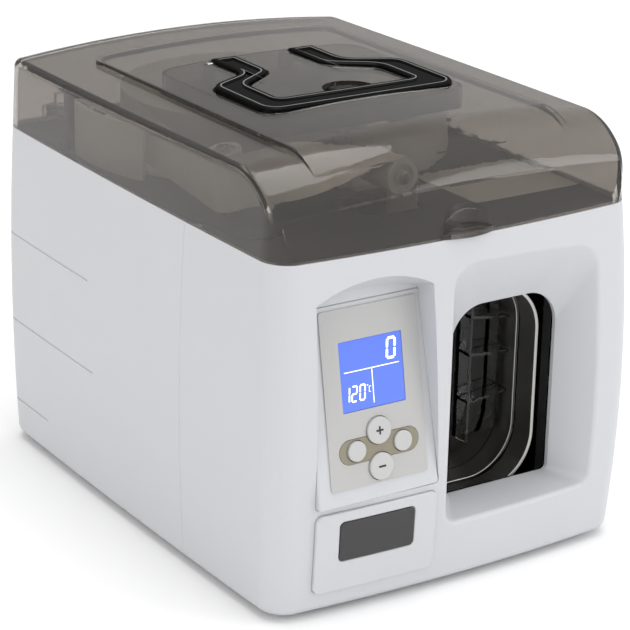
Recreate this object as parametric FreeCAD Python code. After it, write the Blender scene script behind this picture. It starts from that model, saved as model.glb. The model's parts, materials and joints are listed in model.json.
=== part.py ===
"""Banknote strapping machine: every separate piece of the desktop bander as its own STEP solid.

Frame: millimetres, +X to the right for someone facing the front, front towards -Y, +Z up.
The origin is on the table, at the centre of the whole machine's plan.
"""
import FreeCAD, Part
import math
import os

V = FreeCAD.Vector
X_AXIS = V(1, 0, 0)
Y_AXIS = V(0, 1, 0)
Z_AXIS = V(0, 0, 1)

# ---------------------------------------------------------------- driving dimensions
body_width = 225.0            # housing across the lid line
body_depth = 296.0            # housing front to back at the lid line
body_height = 191.5           # housing underside to lid line
foot_height = 3.5             # housing underside above the table
profile_height = 188.0        # height over which the walls' lean is measured
wall = 3.0                    # moulded housing wall
corner_radius = 16.0          # plan corners of the housing
front_bow = 5.6               # plan crown of the front
side_bow = 1.9                # plan crown of each side
front_swell = 5.8             # how far the front leans out below the lid line
side_swell = 3.0              # how far each side leans out below the lid line
rear_tuck = 0.3               # how far the rear leans in at the bottom
bottom_round = 5.5            # rounding of the housing's bottom edge
seam_setback = 85.0           # front shell to rear shell joint, behind the front edge
seam_gap = 0.15

fit_gap = 0.25                # clearance round an inset piece of the same body
run_gap = 0.05                # radial clearance of a shaft in its bearing
move_gap = 0.35               # clearance between pieces that move past each other

console_reach = 12.67         # lower cover ahead of the lid line's front corners
hinge_radius = 3.5            # lid hinge barrel
hinge_offset = 0.5            # hinge axis behind the lid's rear face

base_thickness = 1.5
deck_thickness = 2.5
deck_drop = 2.0               # deck surface below the lid line
deck_ledge = 4.0

lid_wall = 2.5
lid_gap = 0.3                 # lid edge above the housing rim
lid_side_rise = 41.6          # lid shoulder above the lid line at the sides
lid_crown = 6.8               # lid's cross crown at the middle
lid_rear_fall = 2.5           # lid top's fall from the nose to the rear
lid_side_taper = 1.9          # lid side walls lean in to the shoulder
lid_round = 5.0
lid_front_run = 40.0          # how far behind the front the nose curve starts
lid_nose_drop = 21.0          # shoulder to nose corner
lid_nose_set = 6.0            # nose corner behind the front edge
plateau_set = 31.5            # raised centre panel of the lid, its sides in from the housing's
plateau_rear_set = 47.0       # raised panel's rear edge ahead of the rear
plateau_step = 2.6
plateau_fade = 2.5                           # set-back at the nose, where the step runs out

tape_width = 28.0
tape_thickness = 0.3

# ---------------------------------------------------------------- derived places
base_z = foot_height
lid_z = base_z + body_height
overall_depth = console_reach + body_depth + hinge_offset + hinge_radius
front_y = console_reach - overall_depth / 2
rear_y = front_y + body_depth
half_width = body_width / 2
seam_y = front_y + seam_setback
floor_z = base_z + wall                      # top of the housing's inturned bottom flange
base_top_z = floor_z + base_thickness
deck_z = lid_z - deck_drop
deck_under_z = deck_z - deck_thickness
plateau_half = half_width - plateau_set
far = 400.0                                  # larger than the machine, for cutting tools


# ---------------------------------------------------------------- small shape helpers
def box(x0, x1, y0, y1, z0, z1):
    """Box between two corners."""
    return Part.makeBox(x1 - x0, y1 - y0, z1 - z0, V(x0, y0, z0))


def rod(start, axis, radius, length):
    """Solid cylinder from start along axis."""
    return Part.makeCylinder(radius, length, start, axis)


def ring(start, axis, outer, inner, length):
    """Tube from start along axis."""
    return rod(start, axis, outer, length).cut(rod(start, axis, inner, length))


def prism(points, direction):
    """Extrusion of a closed polygon."""
    face = Part.Face(Part.makePolygon(points + [points[0]]))
    return face.extrude(direction)


def rounded_wire(x0, x1, z0, z1, radii, y):
    """Closed wire in an XZ plane at y. radii: bottom left, bottom right, top right, top left."""
    r_bl, r_br, r_tr, r_tl = radii
    corners = [
        (V(x0 + r_bl, y, z0 + r_bl), r_bl, 180),
        (V(x1 - r_br, y, z0 + r_br), r_br, 270),
        (V(x1 - r_tr, y, z1 - r_tr), r_tr, 0),
        (V(x0 + r_tl, y, z1 - r_tl), r_tl, 90),
    ]
    arcs = []
    for centre, radius, start in corners:
        ends = []
        for angle in (start, start + 45, start + 90):
            turn = math.radians(angle)
            ends.append(centre + V(radius * math.cos(turn), 0, radius * math.sin(turn)))
        arcs.append(ends)
    edges = []
    for index, (first, middle, last) in enumerate(arcs):
        following = arcs[(index + 1) % len(arcs)][0]
        edges.append(Part.Arc(first, middle, last).toShape())
        edges.append(Part.LineSegment(last, following).toShape())
    return Part.Wire(edges)


def rounded_plate(x0, x1, z0, z1, radii, y0, y1):
    """Plate with rounded corners, standing in XZ, from y0 to y1."""
    face = Part.Face(rounded_wire(x0, x1, z0, z1, radii, y0))
    return face.extrude(V(0, y1 - y0, 0))


def rounded_slab(x0, x1, y0, y1, radius, z0, z1):
    """Lying plate with four equal rounded corners."""
    slab = rounded_plate(x0, x1, y0, y1, [radius] * 4, 0, z1 - z0)
    slab.rotate(V(0, 0, 0), X_AXIS, 90)
    return slab.mirror(V(0, 0, 0), Y_AXIS).translated(V(0, 0, z0))


def smooth_outline(corners, z0, z1):
    """Upright prism from (x, y, corner radius) triples, each corner rounded by its radius."""
    count = len(corners)
    pieces = []
    for index, (x, y, radius) in enumerate(corners):
        here = V(x, y, z0)
        before = V(corners[index - 1][0], corners[index - 1][1], z0).sub(here).normalize()
        after = V(corners[(index + 1) % count][0], corners[(index + 1) % count][1], z0)
        after = after.sub(here).normalize()
        half_turn = before.getAngle(after) / 2
        reach = radius / math.tan(half_turn)
        bisector = (before + after).normalize()
        middle = here + bisector * (radius / math.sin(half_turn) - radius)
        pieces.append((here + before * reach, middle, here + after * reach))
    edges = []
    for index, (first, middle, last) in enumerate(pieces):
        following = pieces[(index + 1) % count][0]
        edges.append(Part.Arc(first, middle, last).toShape())
        if last.sub(following).Length > 1e-6:
            edges.append(Part.LineSegment(last, following).toShape())
    return Part.Face(Part.Wire(edges)).extrude(V(0, 0, z1 - z0))


def fuse(shapes):
    """One solid from touching shapes, with the seams removed."""
    return shapes[0].multiFuse(shapes[1:]).removeSplitter()


def group(shapes):
    """Several separate solids in one piece of hardware."""
    return Part.makeCompound(shapes)


def involute_gear(teeth, module, width, centre, turn_deg=0.0, backlash=0.12):
    """Spur gear about an axis along Y, from centre.y to centre.y + width, one tooth at turn_deg."""
    pressure = math.radians(20)
    pitch_r = module * teeth / 2
    base_r = pitch_r * math.cos(pressure)
    tip_r = pitch_r + 0.9 * module
    root_r = pitch_r - 1.2 * module
    half_tooth = math.pi / (2 * teeth) - backlash / (2 * pitch_r)
    flank_zero = math.tan(pressure) - pressure
    points = []
    for tooth in range(teeth):
        middle = math.radians(turn_deg) + 2 * math.pi * tooth / teeth
        flank = []
        start_r = max(base_r, root_r)
        for step in range(5):
            radius = start_r + (tip_r - start_r) * step / 4
            unwound = math.sqrt(max((radius / base_r) ** 2 - 1, 0.0))
            angle = half_tooth + flank_zero - (unwound - math.atan(unwound))
            flank.append((radius, angle))
        root_angle = flank[0][1]
        half = [(root_r, root_angle)] + flank
        for radius, angle in half:
            points.append((radius, middle - angle))
        for radius, angle in reversed(half):
            points.append((radius, middle + angle))
    outline = [centre + V(r * math.cos(a), 0, r * math.sin(a)) for r, a in points]
    return prism(outline, V(0, width, 0))


# ---------------------------------------------------------------- the housing's outer form
def swell(depth_share, top_slope, curve):
    """Offset of a leaning wall at a share of the height below the lid line."""
    return top_slope * depth_share - curve * depth_share ** 2


def plan_wire(z, grow):
    """Bowed, round-cornered outline of the machine at height z, grown outwards by grow."""
    share = max(0.0, (lid_z - z) / profile_height)
    side = side_swell * swell(share, 3.92, 3.79)
    front = front_swell * swell(share, 3.52, 3.08)
    rear = -rear_tuck * share
    half = half_width + side + grow
    y0 = front_y - front - grow
    y1 = rear_y + rear + grow
    radius = corner_radius + grow
    front_r = (half ** 2 + front_bow ** 2) / (2 * front_bow)
    front_c = V(0, y0 - front_bow + front_r, z)
    middle_y = (y0 + y1) / 2
    side_r = (((y1 - y0) / 2) ** 2 + side_bow ** 2) / (2 * side_bow)
    side_c = V(half + side_bow - side_r, middle_y, z)
    # the corner circle touches the front arc and the side arc from inside
    span = side_c.sub(front_c)
    reach = span.Length
    a = front_r - radius
    b = side_r - radius
    along = (a ** 2 - b ** 2 + reach ** 2) / (2 * reach)
    off = math.sqrt(a ** 2 - along ** 2)
    unit = V(span).normalize()
    normal = V(-unit.y, unit.x, 0)
    options = [front_c + unit * along + normal * off, front_c + unit * along - normal * off]
    front_corner = max(options, key=lambda p: p.x - p.y)
    rear_corner_y = y1 - radius
    rear_corner_x = side_c.x + math.sqrt((side_r - radius) ** 2 - (rear_corner_y - middle_y) ** 2)
    rear_corner = V(rear_corner_x, rear_corner_y, z)

    def touch(centre, circle_r, corner):
        """Point where a corner circle touches a larger arc."""
        return centre + V(corner.sub(centre)).normalize() * circle_r

    def mirrored(point):
        """Same point on the machine's left."""
        return V(-point.x, point.y, point.z)

    def corner_middle(corner, first, last):
        """Middle point of a corner arc."""
        bisector = V(first.sub(corner)).normalize() + V(last.sub(corner)).normalize()
        return corner + bisector.normalize() * radius

    front_t = touch(front_c, front_r, front_corner)
    side_t = touch(side_c, side_r, front_corner)
    side_t2 = touch(side_c, side_r, rear_corner)
    rear_t = V(rear_corner.x, y1, z)
    front_m = corner_middle(front_corner, front_t, side_t)
    rear_m = corner_middle(rear_corner, side_t2, rear_t)
    side_m = V(side_c.x + side_r, middle_y, z)
    front_mid = V(0, y0 - front_bow, z)
    edges = [
        Part.Arc(mirrored(front_t), front_mid, front_t),
        Part.Arc(front_t, front_m, side_t),
        Part.Arc(side_t, side_m, side_t2),
        Part.Arc(side_t2, rear_m, rear_t),
        Part.LineSegment(rear_t, mirrored(rear_t)),
        Part.Arc(mirrored(rear_t), mirrored(rear_m), mirrored(side_t2)),
        Part.Arc(mirrored(side_t2), mirrored(side_m), mirrored(side_t)),
        Part.Arc(mirrored(side_t), mirrored(front_m), mirrored(front_t)),
    ]
    return Part.Wire([edge.toShape() for edge in edges])


def body_form(z0, z1, grow):
    """Solid of the housing's outer form between two heights, grown by grow."""
    levels = 6
    wires = [plan_wire(z0 + (z1 - z0) * i / levels, grow) for i in range(levels + 1)]
    return Part.makeLoft(wires, True, False)


def plan_prism(z_form, grow, z0, z1):
    """Straight prism of the outline taken at height z_form."""
    wire = plan_wire(z_form, grow)
    wire.translate(V(0, 0, z0 - z_form))
    return Part.Face(wire).extrude(V(0, 0, z1 - z0))


# ---------------------------------------------------------------- front features: places
# control console, leaning back
console_width = 74.0
console_height = 103.0
console_left = -half_width + 21.5
console_right = console_left + console_width
console_top = lid_z - 28.0
console_bottom = console_top - console_height
console_lean = math.degrees(math.atan(0.1835))
console_foot_y = front_y - 11.7
console_thickness = 6.0
console_edge = 2.0
console_seat = 2.5
brow_rise = 12.0                             # arch of the recess above the console
recess_taper = 5.0                           # the recess narrows upwards on its right side

# banknote pocket in the front, right of the console
pocket_left = console_right + 5.5
pocket_right = half_width - 20.9
pocket_bottom = base_z + 33.5
pocket_top = lid_z - 7.0
pocket_radius = 9.0
pocket_rim_round = 3.0
opening_left = pocket_left + 17.2
opening_right = pocket_right - 16.4
opening_bottom = pocket_bottom + 4.0
opening_top = pocket_top - 40.0
opening_arch = 20.0
opening_small_radius = 3.0
opening_y = front_y + 13.0                   # plane of the opening
pocket_wall = 2.5

faceplate_margin = 7.6
faceplate_top_set = 2.6
faceplate_bottom_set = 8.5
faceplate_thickness = 0.8

lcd_width = 38.5
lcd_height = 36.7
lcd_centre_v = 66.5                          # along the console's slope from its foot
key_x = console_left + 38.3
key_radius = 7.2
plus_v = 35.9
minus_v = 16.9
inlay_v = 27.6
inlay_length = 49.0
inlay_height = 13.0
side_key_radius = 5.4
reverse_x = key_x - 14.3
feed_x = key_x + 14.2
key_travel = 0.9
key_proud = 1.6
key_flange = 1.2

cover_left = console_left
cover_right = console_right - 1.0
cover_bottom = base_z + 11.5
cover_top = console_bottom - 4.0
cover_proud = 1.8
nameplate_width = 45.0
nameplate_left = cover_left + 14.0
nameplate_bottom = cover_bottom + 17.0
nameplate_height = cover_top - 5.8 - nameplate_bottom
nameplate_radius = min(2.5, nameplate_height / 2 - 0.3)
nameplate_thickness = 1.2


def console_frame(shape):
    """Place a shape drawn flat (X across, Y along the slope, Z outwards) on the console plane."""
    placed = shape.copy()
    placed.rotate(V(0, 0, 0), X_AXIS, 90 - console_lean)
    placed.translate(V(0, console_foot_y, console_bottom))
    return placed


def console_slab(x0, x1, v0, v1, radius, depth0, depth1):
    """Rounded plate on the console plane, depth measured inwards from its face."""
    return console_frame(rounded_slab(x0, x1, v0, v1, radius, -depth1, -depth0))


def console_rod(x, v, radius, depth0, depth1):
    """Round bar square to the console plane."""
    return console_frame(rod(V(x, v, -depth1), Z_AXIS, radius, depth1 - depth0))


console_slope = (console_top - console_bottom) / math.cos(math.radians(console_lean))
faceplate_left = console_left + faceplate_margin
faceplate_right = console_right - faceplate_margin + 0.9
faceplate_v0 = faceplate_bottom_set
faceplate_v1 = console_slope - faceplate_top_set


# ---------------------------------------------------------------- housing shells
def recess_solid(grow):
    """Arched recess ahead of the console; grown, it is the recess's outside skin."""
    def arch_wire(y, top, rise):
        """Outline with an arched top at depth y."""
        left = console_left - grow
        right = console_right + grow
        shoulder = right - recess_taper
        bottom = console_bottom - grow
        crest = V((left + shoulder) / 2, y, top + rise + grow)
        points = [V(left, y, bottom), V(right, y, bottom), V(shoulder, y, top + grow),
                  V(left, y, top + grow)]
        return Part.Wire([
            Part.LineSegment(points[0], points[1]).toShape(),
            Part.LineSegment(points[1], points[2]).toShape(),
            Part.Arc(points[2], crest, points[3]).toShape(),
            Part.LineSegment(points[3], points[0]).toShape(),
        ])

    lean_y = console_foot_y + console_slope * math.sin(math.radians(console_lean))
    back = arch_wire(lean_y + console_thickness + wall, console_top - 1.0, 1.0)
    outer = arch_wire(front_y - 14.0, console_top + 9.0, brow_rise)
    return Part.makeLoft([back, outer], True, True)


def behind_console(depth):
    """Half space behind the console plane by depth, as a large box."""
    return console_frame(box(-far, far, -far, far, -far, -depth))


def pocket_solid(grow):
    """Sloping banknote pocket, from ahead of the front to the opening plane."""
    mouth_y = front_y - front_bow - front_swell
    ahead = 12.0
    slope = (opening_y - mouth_y)
    share = (opening_y - mouth_y + ahead) / slope

    def reach(inner, outer):
        """Extrapolate a side from the opening through the mouth."""
        return inner + (outer - inner) * share

    inner = rounded_wire(opening_left - grow, opening_right + grow, opening_bottom - grow,
                         opening_top + grow,
                         [opening_small_radius + grow, opening_small_radius + grow,
                          opening_arch + grow, opening_arch + grow], opening_y)
    outer = rounded_wire(reach(opening_left, pocket_left) - grow,
                         reach(opening_right, pocket_right) + grow,
                         reach(opening_bottom, pocket_bottom) - grow,
                         reach(opening_top, pocket_top) + grow,
                         [pocket_radius] * 4, mouth_y - ahead)
    return Part.makeLoft([inner, outer], True, True)


def opening_prism(grow, y0, y1):
    """Arched opening carried straight from y0 to y1."""
    return rounded_plate(opening_left - grow, opening_right + grow, opening_bottom - grow,
                         opening_top + grow,
                         [opening_small_radius + grow, opening_small_radius + grow,
                          opening_arch + grow, opening_arch + grow], y0, y1)


def housing_blank():
    """Whole housing shell before it is parted into front and rear."""
    outer = body_form(base_z, lid_z, 0.0)
    rim = [edge for edge in outer.Edges if abs(edge.BoundBox.ZMax - base_z) < 0.01]
    outer = outer.makeFillet(bottom_round, rim)
    cavity = body_form(floor_z, lid_z + 0.5, -wall)
    flange_hole = plan_prism(base_z, -wall - 12.0, base_z - 1.0, floor_z + 1.0)
    ledge = plan_prism(lid_z, -wall + 1.6, deck_under_z - wall, deck_under_z)
    ledge = ledge.cut(plan_prism(lid_z, -wall - deck_ledge, deck_under_z - far, deck_under_z + far))
    shell = outer.cut(cavity).cut(flange_hole).fuse(ledge.common(outer))
    bores = [rod(V(x, y, deck_under_z - far), Z_AXIS, screw_radius, 2 * far)
             for x, y in deck_screw_places()]
    return shell.cut([bore.common(box(-far, far, -far, far, deck_under_z - 6, deck_under_z + 1))
                      for bore in bores])


groove_width = 1.2
groove_depth = 0.4


def side_grooves():
    """Shallow parallel grooves along both sides of the rear shell."""
    tools = []
    for height, length in ((27.0, 42.0), (78.5, 102.5), (131.8, 97.0)):
        groove = box(-far, far, rear_y - 12.0 - length, rear_y - 12.0, height - groove_width / 2,
                     height + groove_width / 2)
        tools.append(groove)
    skin = body_form(base_z, lid_z, 0.1).cut(body_form(base_z, lid_z, -groove_depth))
    return fuse(tools).common(skin)


def lower_cover_zone(grow, inner, outer):
    """Patch of the front's skin between two offsets, inside the lower cover's outline."""
    plate = rounded_plate(cover_left - grow, cover_right + grow, cover_bottom - grow,
                          cover_top + grow, [4.0 + grow] * 4, front_y - 40.0, front_y + 40.0)
    band = body_form(base_z, lid_z, outer).cut(body_form(base_z - 1, lid_z + 1, inner))
    return plate.common(band)


def rim_edges(shell, form):
    """Edges of the front shell where a hollow's walls meet the outer skin."""
    skin = body_form(base_z, lid_z, 0.0).Shells[0]
    walls = form.Shells[0]

    def on_both(edge):
        """Whether an edge's middle lies on the skin and on the hollow's walls."""
        middle = Part.Vertex(edge.valueAt((edge.FirstParameter + edge.LastParameter) / 2))
        return middle.distToShape(walls)[0] < 0.01 and middle.distToShape(skin)[0] < 0.01

    return [edge for edge in shell.Edges
            if edge.Length > 0.5 and edge.CenterOfMass.y < front_y and on_both(edge)]


def front_housing(blank):
    """Front shell: console recess, banknote pocket, lower cover seat."""
    shell = blank.common(box(-far, far, -far, seam_y - seam_gap / 2, -far, far))
    inside = body_form(base_z, lid_z, -1.0).common(box(-far, far, -far, seam_y, -far, far))
    seat_depth = console_thickness + console_seat
    recess_skin = recess_solid(wall).common(inside).cut(behind_console(seat_depth))
    pocket_skin = pocket_solid(pocket_wall).common(inside)
    throat = opening_prism(pocket_wall, opening_y - 1.0, opening_y + pocket_wall).common(inside)
    shell = shell.fuse([recess_skin, pocket_skin, throat])
    shell = shell.cut(pocket_solid(0.0))
    shell = shell.cut(opening_prism(0.0, opening_y - 2.0, opening_y + pocket_wall + 5.0))
    shell = shell.cut(recess_solid(0.0).cut(behind_console(0.0)))
    shell = shell.cut(console_slab(console_left - fit_gap, console_right + fit_gap, -fit_gap,
                                   console_slope + fit_gap, console_edge + fit_gap, -fit_gap,
                                   console_thickness))
    shell = shell.cut(console_slab(console_left + 7.0, console_right - 7.0, 7.0,
                                   console_slope - 7.0, 3.0, 0.0, 40.0))
    shell = shell.cut(lower_cover_zone(fit_gap, -1.2, 6.0)).removeSplitter()
    return shell.makeFillet(pocket_rim_round, rim_edges(shell, pocket_solid(0.0)))


inlet_x = half_width - 50.5
inlet_z = base_z + 38.5
inlet_width = 28.0
inlet_height = 20.0
switch_x = inlet_x - 36.0
switch_width = 13.0
switch_height = 19.0
hinge_x = 70.0
hinge_knuckle = 7.0
hinge_lid_knuckle = 14.0
hinge_pin_radius = 1.75
hinge_y = rear_y + hinge_offset
hinge_z = lid_z + hinge_radius
notch_radius = hinge_radius + 0.6


def rear_housing(blank):
    """Rear shell: sides, back wall, hinge knuckles, inlet and switch cut-outs, vents."""
    shell = blank.common(box(-far, far, seam_y + seam_gap / 2, far, -far, far))
    shell = shell.cut(side_grooves())
    shell = shell.cut(box(inlet_x - inlet_width / 2, inlet_x + inlet_width / 2, rear_y - 15, rear_y + 5,
                          inlet_z - inlet_height / 2, inlet_z + inlet_height / 2))
    shell = shell.cut(box(switch_x - switch_width / 2, switch_x + switch_width / 2,
                          rear_y - 15, rear_y + 5,
                          inlet_z - switch_height / 2, inlet_z + switch_height / 2))
    slots = []
    for row in range(8):
        z = 90.0 + 8.0 * row
        slots.append(rounded_plate(-60.0, -10.0, z, z + 3.0, [1.4] * 4, rear_y - 15, rear_y + 5))
    shell = shell.cut(slots)
    lugs = []
    for side in (-1, 1):
        for end in (-1, 1):
            middle = side * hinge_x + end * (hinge_lid_knuckle + hinge_knuckle) / 2
            middle += end * move_gap
            x0 = middle - hinge_knuckle / 2
            barrel = rod(V(x0, hinge_y, hinge_z), X_AXIS, hinge_radius, hinge_knuckle)
            lug = box(x0, x0 + hinge_knuckle, rear_y - wall, hinge_y + hinge_radius,
                      lid_z - 16.0, hinge_z - 0.5)
            lug = lug.cut(box(-far, far, rear_y - far, rear_y - hinge_offset,
                              lid_z - deck_drop - deck_thickness - wall - 9.0, far))
            lugs += [barrel, lug]
    shell = shell.fuse(lugs)
    bore = [rod(V(side * hinge_x - 20, hinge_y, hinge_z), X_AXIS, hinge_pin_radius, 40)
            for side in (-1, 1)]
    return shell.cut(bore).removeSplitter()


def lid_hinge_pins():
    """Two steel pins, one in each lid hinge."""
    length = hinge_lid_knuckle + 2 * hinge_knuckle + 2 * move_gap
    return group([rod(V(side * hinge_x - length / 2, hinge_y, hinge_z), X_AXIS,
                      hinge_pin_radius, length) for side in (-1, 1)])


def base_plate():
    """Pressed steel floor on the housing's inturned flange, with the main board's four spacers."""
    plate = plan_prism(base_z, -wall - 1.0, floor_z, base_top_z)
    holes = [rod(V(x, y, floor_z - 1), Z_AXIS, 2.0, 10) for x, y in foot_places()]
    spacers = [rod(V(x, y, base_top_z - 0.5), Z_AXIS, 3.0, board_z - base_top_z + 0.5)
               for x, y in standoff_places()]
    return fuse([plate.cut(holes)] + spacers)


foot_x = half_width - 28.5
foot_inset_y = 34.0
foot_radius = 9.0


def foot_places():
    """Plan places of the four feet."""
    ys = (front_y + foot_inset_y, rear_y - foot_inset_y)
    return [(side * foot_x, y) for side in (-1, 1) for y in ys]


def rubber_feet():
    """Four tapered rubber feet with stems through the floor."""
    feet = []
    for x, y in foot_places():
        pad = Part.makeCone(foot_radius - 1.2, foot_radius, floor_z, V(x, y, 0), Z_AXIS)
        stem = rod(V(x, y, floor_z), Z_AXIS, 2.0, base_thickness)
        button = rod(V(x, y, base_top_z), Z_AXIS, 4.0, 1.6)
        feet.append(fuse([pad, stem, button]))
    return group(feet)


# ---------------------------------------------------------------- deck under the lid
guide_x = opening_left - 6.2  # level guide roller, over the slot
slot_left = guide_x - 23.5
slot_right = guide_x + 15.0
slot_front = front_y + 51.5
slot_rear = front_y + 84.5


def top_deck():
    """Dark moulded deck with the tape slot and its screw holes."""
    deck = plan_prism(lid_z, -wall - fit_gap, deck_under_z, deck_z)
    slot = smooth_outline([(slot_left, slot_rear, 2.0), (slot_right, slot_rear, 2.0),
                           (slot_right, slot_front, 2.0), (slot_left + 5, slot_front, 2.0),
                           (slot_left, slot_front + 8, 2.0)],
                          deck_under_z - 1, deck_z + 1)
    holes = [rod(V(x, y, deck_under_z - 1), Z_AXIS, screw_radius, 10) for x, y in deck_screw_places()]
    return deck.cut([slot] + holes)


def deck_screw_places():
    """Plan places of the screws round the deck, over its ledge."""
    inset = wall + 2.7
    x = half_width + 1.4 - inset
    places = [(side * x, y) for side in (-1, 1) for y in (front_y + 78, rear_y - 78)]
    places += [(side * 45.0, rear_y - inset) for side in (-1, 1)]
    return places


screw_radius = 1.25


def deck_screws():
    """Six pan-head screws holding the deck to the housing's ledge."""
    screws = []
    for x, y in deck_screw_places():
        shank = rod(V(x, y, deck_under_z - wall), Z_AXIS, screw_radius, deck_thickness + wall)
        head = rod(V(x, y, deck_z), Z_AXIS, 2.2, 1.4)
        head = head.cut(box(x - 3, x + 3, y - 0.3, y + 0.3, deck_z + 0.7, deck_z + 3))
        screws.append(fuse([shank, head]))
    return group(screws)


# ---------------------------------------------------------------- lid
handle_half = 61.7            # half width of the handle across its grip
handle_front_y = front_y + 89.2
handle_rear_y = front_y + 196.7
handle_arm_in = 17.8          # arm's inner face from the centre
handle_arm_out = 33.2
handle_grip_in_y = 18.6       # grip bar front to back
handle_grip_in_half = 43.6    # inside corner of the grip from the centre
handle_thickness = 7.5
handle_crank_radius = 12.0     # bends between the grip and the arms
handle_pivot_y = handle_rear_y - handle_thickness / 2
handle_gap = 1.3
handle_pin_radius = 2.0
tub_margin = 3.0
tub_depth = 16.0
tub_wall = 2.0
lid_top_z = lid_z + lid_side_rise + lid_crown + plateau_step


def lid_profile(x, grow, step=0.0, fade=0.0):
    """Side-view outline of the lid's form across its width, raised by step and set back by fade in front."""
    across = abs(x) / half_width
    crown = lid_crown * (1 - across ** 2)
    top = lid_z + lid_side_rise + crown + grow + step
    bow = front_bow * (1 - across ** 2)
    nose = front_y + lid_nose_set - bow - grow + fade
    foot = front_y - bow - grow - 1.0 + fade
    back = rear_y + grow + 1.0
    bottom = lid_z - 5.0
    rear_round = 14.0
    start = V(x, nose + lid_front_run - lid_nose_set, top)
    drop = lid_nose_drop + step
    corner = V(x, nose, top - drop)
    nose_run = lid_front_run - lid_nose_set
    nose_radius = (nose_run ** 2 + drop ** 2) / (2 * drop)
    half_turn = math.asin(nose_run / nose_radius) / 2
    bulge = start + V(0, -nose_radius * math.sin(half_turn), -nose_radius * (1 - math.cos(half_turn)))
    turn = math.radians(45)
    rear_top = top - lid_rear_fall
    rear_c = V(x, back - rear_round, rear_top - rear_round)
    rear_mid = rear_c + V(0, rear_round * math.cos(turn), rear_round * math.sin(turn))
    return Part.Wire([
        Part.LineSegment(V(x, foot, bottom), corner).toShape(),
        Part.Arc(corner, bulge, start).toShape(),
        Part.LineSegment(start, V(x, back - rear_round, rear_top)).toShape(),
        Part.Arc(V(x, back - rear_round, rear_top), rear_mid,
                 V(x, back, rear_top - rear_round)).toShape(),
        Part.LineSegment(V(x, back, rear_top - rear_round), V(x, back, bottom)).toShape(),
        Part.LineSegment(V(x, back, bottom), V(x, foot, bottom)).toShape(),
    ])


def tapered_plan(grow, low, high):
    """Plan outline of the lid, its walls leaning in towards the top."""
    bottom = plan_wire(lid_z, grow)
    bottom.translate(V(0, 0, low - lid_z))
    share = (high - low) / (lid_side_rise)
    top = plan_wire(lid_z, grow - lid_side_taper * share)
    top.translate(V(0, 0, high - lid_z))
    return Part.makeLoft([bottom, top], True, True)


def lid_form(grow, low):
    """Outer form of the lid, grown by grow, from a lower height up."""
    stations = [-1.06, -0.6, 0.0, 0.6, 1.06]
    swept = Part.makeLoft([lid_profile(s * half_width, grow) for s in stations], True, False)
    return swept.common(tapered_plan(grow, low, lid_top_z + 20.0))


def rounded_lid_form(low):
    """Outer form of the lid with its side shoulders rounded."""
    form = lid_form(0.0, low)
    shoulder_z = lid_z + lid_side_rise - lid_rear_fall - 2.0
    edges = [edge for edge in form.Edges
             if abs(edge.CenterOfMass.x) > half_width - 12 and edge.Length > 100
             and edge.BoundBox.ZMin > shoulder_z]
    form = form.makeFillet(lid_round, edges)
    form.fix(0.001, 0.001, 0.01)
    return form


def plateau(grow):
    """Raised centre panel of the lid, running down over the nose."""
    stations = [-1.06, -0.6, 0.0, 0.6, 1.06]
    raised = Part.makeLoft([lid_profile(s * half_width, grow, plateau_step, plateau_fade)
                            for s in stations], True, False)
    panel = rounded_slab(-plateau_half - grow, plateau_half + grow, front_y - 60.0,
                         rear_y - plateau_rear_set + grow, 10.0, lid_z + 12.0, lid_z + 80.0)
    inner = tapered_plan(grow, lid_z, lid_top_z + 20.0)
    return raised.common(panel).common(inner)


def handle_prism(grow, z0, z1):
    """Folded handle's cranked outline as an upright prism, grown outwards by grow."""
    outer_half = handle_half + grow
    arm_out = handle_arm_out + grow
    arm_in = handle_arm_in - grow
    y_rear = handle_rear_y + grow
    y_front = handle_front_y - grow
    y_grip = handle_front_y + handle_grip_in_y + grow
    grip_in = handle_grip_in_half - grow
    right = [
        (arm_out, y_rear, 2.5 + grow), (arm_out, front_y + 161.0 + grow, handle_crank_radius - grow),
        (outer_half, front_y + 146.5 + grow, handle_crank_radius + grow), (outer_half, y_front, 12.0 + grow),
    ]
    inside = [
        (grip_in, y_grip, 4.0 - grow), (grip_in, front_y + 141.0 - grow, handle_crank_radius - grow),
        (arm_in, front_y + 158.0 - grow, handle_crank_radius + grow), (arm_in, y_rear, 2.5 + grow),
    ]
    corners = right + [(-x, y, r) for x, y, r in reversed(right)]
    corners += [(-x, y, r) for x, y, r in reversed(inside)] + inside
    return smooth_outline(corners, z0, z1)


thumb_x = 0.0
thumb_half = 17.0


def thumb_scoop(grow, low):
    """Finger hollow in the lid's nose: an upright and a level cylinder crossed."""
    face_y = front_y - front_bow
    upright = rod(V(thumb_x, face_y - 24.0, low + 2.5 - grow), Z_AXIS, 29.5 + grow, 30)
    level = rod(V(thumb_x, face_y - 60.0, low - 8.0), Y_AXIS, 21.0 + grow, 80)
    return upright.common(level)


scoop_x = 2.0                 # finger hollow behind the grip
scoop_radius = 15.5


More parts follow.
